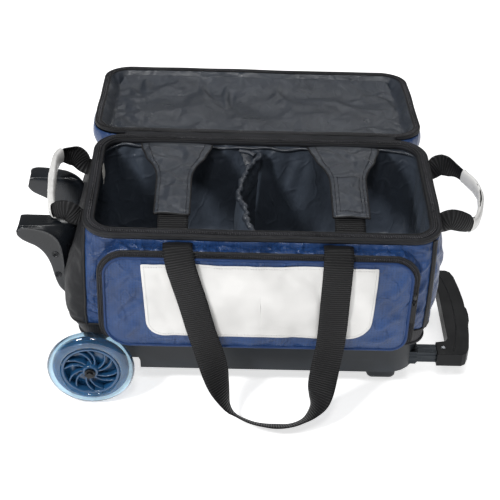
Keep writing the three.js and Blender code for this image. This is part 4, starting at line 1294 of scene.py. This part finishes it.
def pocket_side():
    """The low wall round the pocket."""
    profile = [(-0.4, 126), (0.2, 133), (0.4, 140), (0.2, 147), (-0.4, 151.5)]
    side = sweep(outline, outline_out, FRONT, profile)
    side += outline_out[:, None] * ripple(side, 20, 0.7, 31)[..., None]
    piece = build("pocket_side_fabric", grid_shape(side, True), NAVY, "navy_fabric",
                  replaces=["pocket_shell"])
    thicken(piece, 1.6, offset=0)


pocket_side()


POCKET_FOLDS = [[202, 254, 168, 190, 6, 5.4], [205, 236, 174, 188, 5, 4.6], [205, 206, 170, 172, 6, 5.4],
                [204, 172, 164, 148, 6, 5.4], [200, 142, 150, 125, 5, 4.4], [120, 122, 50, 118, 4, 2.4],
                [-213, 196, -178, 250, 6, 4.0], [-211, 166, -172, 226, 6, 4.4],
                [-207, 140, -170, 190, 6, 4.4], [-196, 126, -166, 150, 5, 4.6], [-150, 120, -90, 124, 4, 2.4],
                [-40, 124, 20, 119, 4, 2.2], [40, 261, 120, 259, 3, 1.2], [-140, 259, -60, 261, 3, 1.2]]
VINYL_FOLDS = [[-150, 252, -120, 214, 7, 1.0], [-64, 252, -20, 222, 8, 1.2], [20, 248, 62, 226, 7, 1.1],
               [88, 244, 150, 214, 6, 1.3], [96, 184, 150, 160, 6, 1.2], [-150, 150, -90, 162, 7, 1.0],
               [-20, 160, 50, 146, 8, 0.9]]


def pocket_front():
    """The pocket's face with its edge piping. Returns its piece and its grid's size."""
    face = rounded_grid(*POCKET, POCKET_RADII, 4.5)
    u, v = np.linspace(-1, 1, len(face))[:, None], np.linspace(-1, 1, len(face[0]))[None]
    dome = (1 - np.abs(u) ** 10) * (1 - np.abs(v) ** 5)
    flat3 = in_front(face, 0)
    slack = np.clip(np.abs(face[..., 0]) / 200, 0, 1) ** 3
    swell = 2.6 + ripple(flat3, 34, 0.8, 32) + ripple(flat3 * [0.6, 1, 1.6], 30, 1.0, 33) * slack
    swell += np.clip(folds(face, POCKET_FOLDS), -1.5, 6.0)
    piece = build("pocket_face_fabric", grid_shape(in_front(face, POCKET_Y - swell * dome)), NAVY,
                  "navy_fabric")
    wrinkle(piece, rim_of(face), 0.02, 1.8, pressure=0.4)
    edge = tube(outline + FRONT * 152.0, 2.0, ref=FRONT, closed=True)
    build("pocket_edge_piping", edge, NAVY_PIPING, "navy_fabric")
    return piece, face.shape[:2]


pocket_face, pocket_face_size = pocket_front()


def zip_arch():
    """The zip's path up one side of the pocket, over it and down the other, and its outward directions."""
    arch = np.hstack(pocket_ring(2.6))
    from_end = np.abs(arch[:, 2] - ARCH_END_Z)
    right_end = int(np.argmin(from_end + (arch[:, 0] < 0) * 999))
    left_end = int(np.argmin(from_end + (arch[:, 0] > 0) * 999))
    arch = np.roll(arch, -right_end, 0)[:(left_end - right_end) % len(arch) + 1]
    return arch[:, :3], unit(arch[:, 3:])


def pocket_gusset(arch_path, arch_out):
    """Crinkled cloth between the pocket's zip and the bag."""
    gusset = sweep(arch_path, arch_out, FRONT,
                   [(8.6, 127.5), (9.2, 131), (9.4, 135), (9.0, 139), (8.8, 143), (8.2, 146.4)])
    crinkle = (ripple(gusset, 7, 1.7, 34) + ripple(gusset, 15, 1.4, 44)) * np.array([0.3, 1, 1, 1, 1, 0.2])
    gusset += arch_out[:, None] * np.clip(crinkle, -1.2, 3.0)[..., None]
    piece = build("pocket_gusset", grid_shape(gusset), NAVY, "navy_fabric")
    wrinkle(piece, rim_of(gusset), 0.09, 1.8, bend=0.02)
    thicken(piece, 1.4, offset=0)


def pocket_zip(arch_path, arch_out):
    """The pocket's zip: tape, coil and two pipings."""
    tape = sweep(arch_path, arch_out, FRONT, [(8.8, 144.5), (8.4, 147.4), (6.6, 148.2), (4.4, 148.4),
                                              (2.2, 148.6), (0.6, 149.6), (0.2, 151)])
    piece = build("pocket_zip_tape", grid_shape(tape), BINDING, "zip_and_binding", replaces=["pocket_zip"])
    thicken(piece, 1.2, offset=0)
    coil_line = arch_path + arch_out * 4.4 + FRONT * 148.8
    coil = tooth_rows(coil_line, arch_out, FRONT, POCKET_GAP, POCKET_PITCH, POCKET_TOOTH, closed=False)
    build("pocket_zip_coil", coil, COIL, "zip_and_binding")
    build("pocket_zip_piping", merged(tube(arch_path + arch_out * 8.6 + FRONT * 147.6, 1.5, ref=FRONT),
                                      tube(arch_path + arch_out * 1.2 + FRONT * 150.2, 1.2, ref=FRONT)),
          PIPING, "zip_and_binding")


pocket_gusset(*zip_arch())
pocket_zip(*zip_arch())


# ------------------------------------------------------------------ small parts

def care_label():
    """A blank label that hangs inside the left end."""
    label_line = smoothed([[-233.4, 28, 287], [-232.6, 28, 279], [-231.8, 28, 271], [-232.2, 28, 263]], 9)
    label = np.stack([label_line + [np.sin(k) * 0.4, k * 3.0, 0] for k in range(9)], 0)
    piece = build("blank_label", grid_shape(label), LABEL, "label", replaces=["care_label"])
    thicken(piece, 0.5, offset=0)


care_label()


def lathe(profile, segments, y0=0.0, x=AXLE_X, z=WHEEL_Z):
    """A closed profile of (radius, y) turned about a line along Y."""
    angle = (np.arange(segments) * 2 * math.pi / segments)[:, None]
    profile = np.asarray(profile, float)
    high = np.broadcast_to(profile[:, 1] + y0, (segments, len(profile)))
    points = np.stack([x + profile[:, 0] * np.cos(angle), high, z + profile[:, 0] * np.sin(angle)], -1)
    return grid_shape(points, True, True)


def mirrored(half):
    """A wheel profile from its half with y of zero or less."""
    return half + [(r, -y) for r, y in half[::-1] if y]


TYRE_PROFILE = mirrored([(43.0, -9.0), (44.6, -10.6), (47.0, -11.6), (50.5, -12.0), (54.5, -11.5),
                         (58.2, -9.6), (61.2, -6.6), (63.0, -3.2), (63.5, 0)])
TYRE_CORE = mirrored([(43.4, -6.4), (49.0, -7.0), (52.2, -4.8), (53.4, 0)])
HUB_RIM = mirrored([(37.8, -2.0), (38.4, -8.6), (39.4, -9.4), (41.6, -9.4), (42.6, -8.6)])
# A dark disc in the hub's middle plane: a sheet that stands in for the shade seen between the spokes.
HUB_SHADE_WEB = mirrored([(11.0, -1.0), (38.5, -1.0)])
HUB_CORE = mirrored([(4.6, -10.6), (9.6, -11.2), (11.4, -9.8), (12.2, -4)])
BLADE = [(-1.2, -7), (-0.6, -7.6), (0.6, -7.6), (1.2, -7), (1.2, 7), (0.6, 7.6), (-0.6, 7.6), (-1.2, 7)]


# Where a spoke starts, how far it reaches outwards, and how far round it turns on the way.
SPOKE_FOOT, SPOKE_REACH, SPOKE_TURN = 10.5, 28.2, 0.62


def spoke(start, y0):
    """A blade that curves from the core to the rim."""
    t = np.linspace(0, 1, 12)
    r = SPOKE_FOOT + SPOKE_REACH * t
    turn = start + SPOKE_TURN * t ** 1.15
    path = np.stack([AXLE_X + r * np.cos(turn), np.full(12, y0), WHEEL_Z + r * np.sin(turn)], 1)
    return capped(sweep(path, unit(np.cross(tangents(path), -FRONT)), -FRONT, BLADE))


for place, sign in (("front", -1), ("rear", 1)):
    y0, body = sign * WHEEL_Y, f"wheel_{place}"
    build(f"{place}_tyre_cast", lathe(TYRE_PROFILE, 96, y0), TYRE, "tyre", body=body,
          replaces=[f"tyre_{place}"], solid=True)
    spokes = [spoke((i // 2 + (i % 2) * 0.36) * math.pi / 3, y0) for i in range(12)]
    # Each hub includes the dark disc that stands in for the shade between its spokes.
    build(f"{place}_hub_cast", merged(lathe(HUB_RIM, 72, y0), lathe(HUB_CORE, 48, y0),
                                      lathe(HUB_SHADE_WEB, 72, y0 - sign * 2), *spokes), HUB, "hub",
          body=body, replaces=[f"wheel_hub_{place}"], solid=True)
    build(f"{place}_tyre_core", lathe(TYRE_CORE, 96, y0), CORE, "tyre", body=body, solid=True)


# Moulded stand legs: lofted from the lower edge, over a ridge, to the edge that meets the body.
# Each row: lower edge x and z, ridge x and z, upper edge x and z, and how far out the upper edge stands.
LEG_ROWS = [[-343.5, 246, -344.2, 251, -342, 257, 72], [-346, 242, -346, 253, -342.5, 260.5, 74],
            [-340, 234, -338, 257.5, -335, 262, 75], [-330, 228, -328, 257.8, -326, 262, 75],
            [-320, 222.5, -317, 256, -314, 262, 74], [-311, 213, -305, 252, -300, 262, 72],
            [-305, 202, -296, 246, -286, 261, 69], [-301, 190, -289, 237, -271, 255, 64],
            [-299, 180, -285, 226, -263, 243, 60], [-297, 170, -283, 212, -265, 226, 57],
            [-294.5, 160, -282, 194, -268, 204, 56], [-290.5, 150, -281.5, 172, -270, 180, 56],
            [-284, 142, -279.5, 152, -271, 156, 57], [-278, 139, -275, 142, -271, 143, 60]]


def leg_section(low, ridge, high, reach):
    """The loop of (x, y, z) round one station of a leg."""
    a, b = unit(ridge - low), unit(high - ridge)
    gap = np.linalg.norm(high - ridge)
    spots = [(low, 50), (low, 71), (low + a * 1.4, 75.4), (low + a * 4, 77.0), (ridge - a * 4, 77.0),
             (ridge - a * 1.8, 77.8), (ridge, 79.4), (ridge + b * min(1.6, gap * 0.25), 79.0),
             (ridge + b * min(3.4, gap * 0.5), 77.0),
             ((ridge + high) / 2 + b * gap * 0.12, (77.0 + reach) / 2),
             (high, reach), (high, 50), (high - b * min(1.6, gap * 0.4), 46.4),
             ((low + high) / 2, 45.5), (low + a * 4, 45.6), (low + a * 1.4, 46.6)]
    return np.array([[q[0], y, q[1]] for q, y in spots])


LEG_SCREWS = ((-293, 212), (-291, 176))
SCREW_CUP = [(3.2, 76.4), (5.3, 76.4), (5.1, 77.6), (4.6, 78.0), (4.1, 77.6), (3.9, 76.9), (3.2, 76.8)]
SCREW_HEAD = [(0.02, 76.0), (3.2, 76.0), (3.4, 76.9), (2.9, 77.6), (1.9, 77.8), (1.5, 77.2), (0.02, 77.0)]


def at_screws(profile, sign, segments):
    """A profile turned round both screw holes of one leg."""
    profile = [(r, sign * y) for r, y in profile]
    return merged(*[lathe(profile, segments, x=x, z=z) for x, z in LEG_SCREWS])


def leg(place, sign):
    """A stand leg with its cups and screws."""
    grid = np.stack([leg_section(r[:2], r[2:4], r[4:6], r[6]) for r in smoothed(LEG_ROWS, 66)])
    piece = build(f"{place}_stand_leg", capped(grid * [1, sign, 1]), LEG_PLASTIC, "leg_plastic",
                  replaces=[f"stand_leg_{place}"], solid=True)
    piece.modifiers.new("smooth", "SUBSURF").levels = 1
    build(f"{place}_leg_cups", at_screws(SCREW_CUP, sign, 28), LEG_PLASTIC, "leg_plastic", solid=True)
    build(f"{place}_leg_screws", at_screws(SCREW_HEAD, sign, 24), DARK_STEEL, "screw_steel", solid=True,
          replaces=[f"leg_screw_{place}_1", f"leg_screw_{place}_2"])


leg("front", -1)
leg("rear", 1)


def grip_line():
    """The parting line on top of the pull grip."""
    across = np.linspace(-95, 95, 60)
    parting = np.stack([np.interp(np.abs(across), [0, 40, 80, 95], [306, 304.5, 298, 293.5]), across,
                        np.full(60, 63.15)], 1)
    build("grip_parting_line", tube(parting, 0.7, flat=0.5), DARK_STEEL, "leg_plastic",
          body="handle_stage2")


grip_line()


def pocket_slider():
    """The pocket's zip slider."""
    slider = rounded_grid(210.4, 216.8, 200.4, 211.6, 2.4, 0.8)
    from_middle = np.abs((slider - [SLIDER_X, 206]) / [3.2, 5.6]).max(-1)
    swell = 1 - from_middle ** 3
    build("pocket_slider_body",
          merged(grid_shape(in_front(slider, -149.6 - 3.6 * swell)), grid_shape(in_front(slider, -149.4))),
          DARK_STEEL, "dark_steel", body="pocket_slider", replaces=["zip_slider"])


pocket_slider()


def pocket_pull():
    """The slider's pull: a soft tab on a wire eye."""
    turn = np.linspace(0, 2 * math.pi, 20, endpoint=False)
    eye_path = np.stack([SLIDER_X + 2.4 * np.cos(turn), np.full(20, -152.8), 195.4 + 3.0 * np.sin(turn)], 1)
    tab = rounded_grid(210.6, 216.6, 160, 194, 2.6, 1.5)
    pull = build("pocket_pull_tab", grid_shape(in_front(tab, -151.4)), PIPING, "pull_rubber",
                 body="pocket_pull", replaces=["zip_pull"])
    thicken(pull, 1.8, offset=0)
    build("pocket_pull_eye", tube(eye_path, 0.7, ref=FRONT, closed=True), DARK_STEEL, "dark_steel",
          body="pocket_pull", solid=True)


pocket_pull()


# ------------------------------------------------------------------ settle the cloth, then what lies on it

settle()


def settled_grid(obj, shape):
    """A settled piece's points in bag coordinates, as the grid it was made from."""
    co = np.array([v.co for v in obj.data.vertices], float)
    return ((co - SHIFT) / MM).reshape(*shape, 3)


thicken(pocket_face, 1.4)


def light_panel():
    """The light panel, which follows the settled pocket face. Returns its grid."""
    face_now = settled_grid(pocket_face, pocket_face_size)
    vinyl = rounded_grid(*VINYL, VINYL_RADII, 4.0)
    down = (VINYL[3] - vinyl[..., 1]) / (VINYL[3] - VINYL[2])
    vinyl[..., 0] += np.where(vinyl[..., 0] < 0, 8 * down, -4 * down ** 2)
    pu = (vinyl[..., 0].ravel() - POCKET[0]) / (POCKET[1] - POCKET[0])
    pv = (vinyl[..., 1].ravel() - POCKET[2]) / (POCKET[3] - POCKET[2])
    front_y = on_grid(face_now, pu, pv)[:, 1].reshape(vinyl.shape[:2])
    vinyl3 = in_front(vinyl, front_y - 1.3)
    vinyl3[..., 1] -= ripple(vinyl3, 28, 0.25, 35) + np.clip(folds(vinyl, VINYL_FOLDS), 0, 1.4)
    piece = build("pocket_vinyl_panel", grid_shape(vinyl3), VINYL_LOOK, "light_vinyl",
                  replaces=["pocket_panel"])
    thicken(piece, 0.9, offset=0)
    return vinyl3


def light_panel_seam(vinyl3):
    """Stitches round the light panel."""
    border = np.vstack([vinyl3[1, 1:-1], vinyl3[1:-1, -2], vinyl3[-2, 1:-1][::-1], vinyl3[1:-1, 1][::-1]])
    build("vinyl_stitching", stitch_run(border, FRONT, 0.35), VINYL_LOOK, "light_vinyl")


light_panel_seam(light_panel())


def flap_seams():
    """Stitches along the hold-down flaps, and a stitched box at the tip of the right one."""
    for side, (piece, shape) in flaps.items():
        grid = settled_grid(piece, shape)
        v_line = np.linspace(0.02, 0.985, 60)
        runs = [on_grid(grid, np.full(60, u), v_line) for u in (0.1, 0.9)]
        if side == "right":
            runs += [on_grid(grid, np.full(30, u), np.linspace(0.55, 0.95, 30)) for u in (0.2, 0.8)]
            runs += [on_grid(grid, np.linspace(0.2, 0.8, 20), np.full(20, v)) for v in (0.55, 0.95)]
        stitches = merged(*[stitch_run(run, UP, 1.2) for run in runs])
        build(f"{side}_hold_down_stitching", stitches, THREAD, "lining", body=f"hold_down_{side}")


flap_seams()


thicken(hinge_piece, 1.2, offset=0, levels=0)
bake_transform(hinge_piece)


# ------------------------------------------------------------------ floor, light and camera

def stage_floor():
    """A wide pale floor."""
    mesh = bpy.data.meshes.new("floor")
    mesh.from_pydata([(-8, -6, 0), (8, -6, 0), (8, 8, 0), (-8, 8, 0)], [], [(0, 1, 2, 3)])
    floor = bpy.data.objects.new("floor", mesh)
    bpy.context.scene.collection.objects.link(floor)
    look = Look("pale_floor", Roughness=0.9, Emission_Color=(1, 1, 1, 1), Emission_Strength=0.68)
    look.put(look.mix(look.noise(400), srgb("f4f4f4"), srgb("fafafa")), "Base Color")
    mesh.materials.append(look.mat)


def soft_light(name, place, target, size, power):
    """A square area light aimed at a target."""
    data = bpy.data.lights.new(name, "AREA")
    data.shape, data.size, data.energy = "SQUARE", size, power
    lamp = bpy.data.objects.new(name, data)
    lamp.location = place
    lamp.rotation_mode = "QUATERNION"
    lamp.rotation_quaternion = (Vector(target) - Vector(place)).to_track_quat("-Z", "Y")
    bpy.context.scene.collection.objects.link(lamp)


CAMERA_PLACE = (-0.04964, -1.64668, 1.31394)
CAMERA_DOWN, CAMERA_YAW, CAMERA_ROLL = math.radians(36.21), math.radians(-1.61), math.radians(2.24)
LENS = 92.95


def make_camera():
    """A long lens in front of the bag and above it, turned and rolled a little."""
    right = Vector((math.cos(CAMERA_YAW), math.sin(CAMERA_YAW), 0))
    ahead = Vector((-math.sin(CAMERA_YAW), math.cos(CAMERA_YAW), 0))
    forward = ahead * math.cos(CAMERA_DOWN) - Vector((0, 0, math.sin(CAMERA_DOWN)))
    above = ahead * math.sin(CAMERA_DOWN) + Vector((0, 0, math.cos(CAMERA_DOWN)))
    x_axis = right * math.cos(CAMERA_ROLL) + above * math.sin(CAMERA_ROLL)
    y_axis = above * math.cos(CAMERA_ROLL) - right * math.sin(CAMERA_ROLL)
    data = bpy.data.cameras.new("camera")
    data.lens, data.sensor_width = LENS, 36
    camera = bpy.data.objects.new("camera", data)
    camera.matrix_world = Matrix((x_axis, y_axis, -forward)).transposed().to_4x4()
    camera.location = CAMERA_PLACE
    bpy.context.scene.collection.objects.link(camera)
    bpy.context.scene.camera = camera


def make_world():
    """Even white light from all round."""
    world = bpy.data.worlds.new("studio")
    world.use_nodes = True
    sky = world.node_tree.nodes["Background"]
    sky.inputs["Color"].default_value = (1, 1, 1, 1)
    sky.inputs["Strength"].default_value = 0.2
    bpy.context.scene.world = world
    bpy.context.scene.view_settings.view_transform = "Standard"


stage_floor()
make_world()
soft_light("key", (-1.3, -1.4, 1.9), (0, 0, 0.15), 0.35, 38)
soft_light("front", (-0.1, -1.5, 2.3), (0, 0, 0.2), 0.4, 12)
soft_light("back", (0.5, 1.1, 1.9), (0, 0.05, 0.2), 0.7, 12)
make_camera()
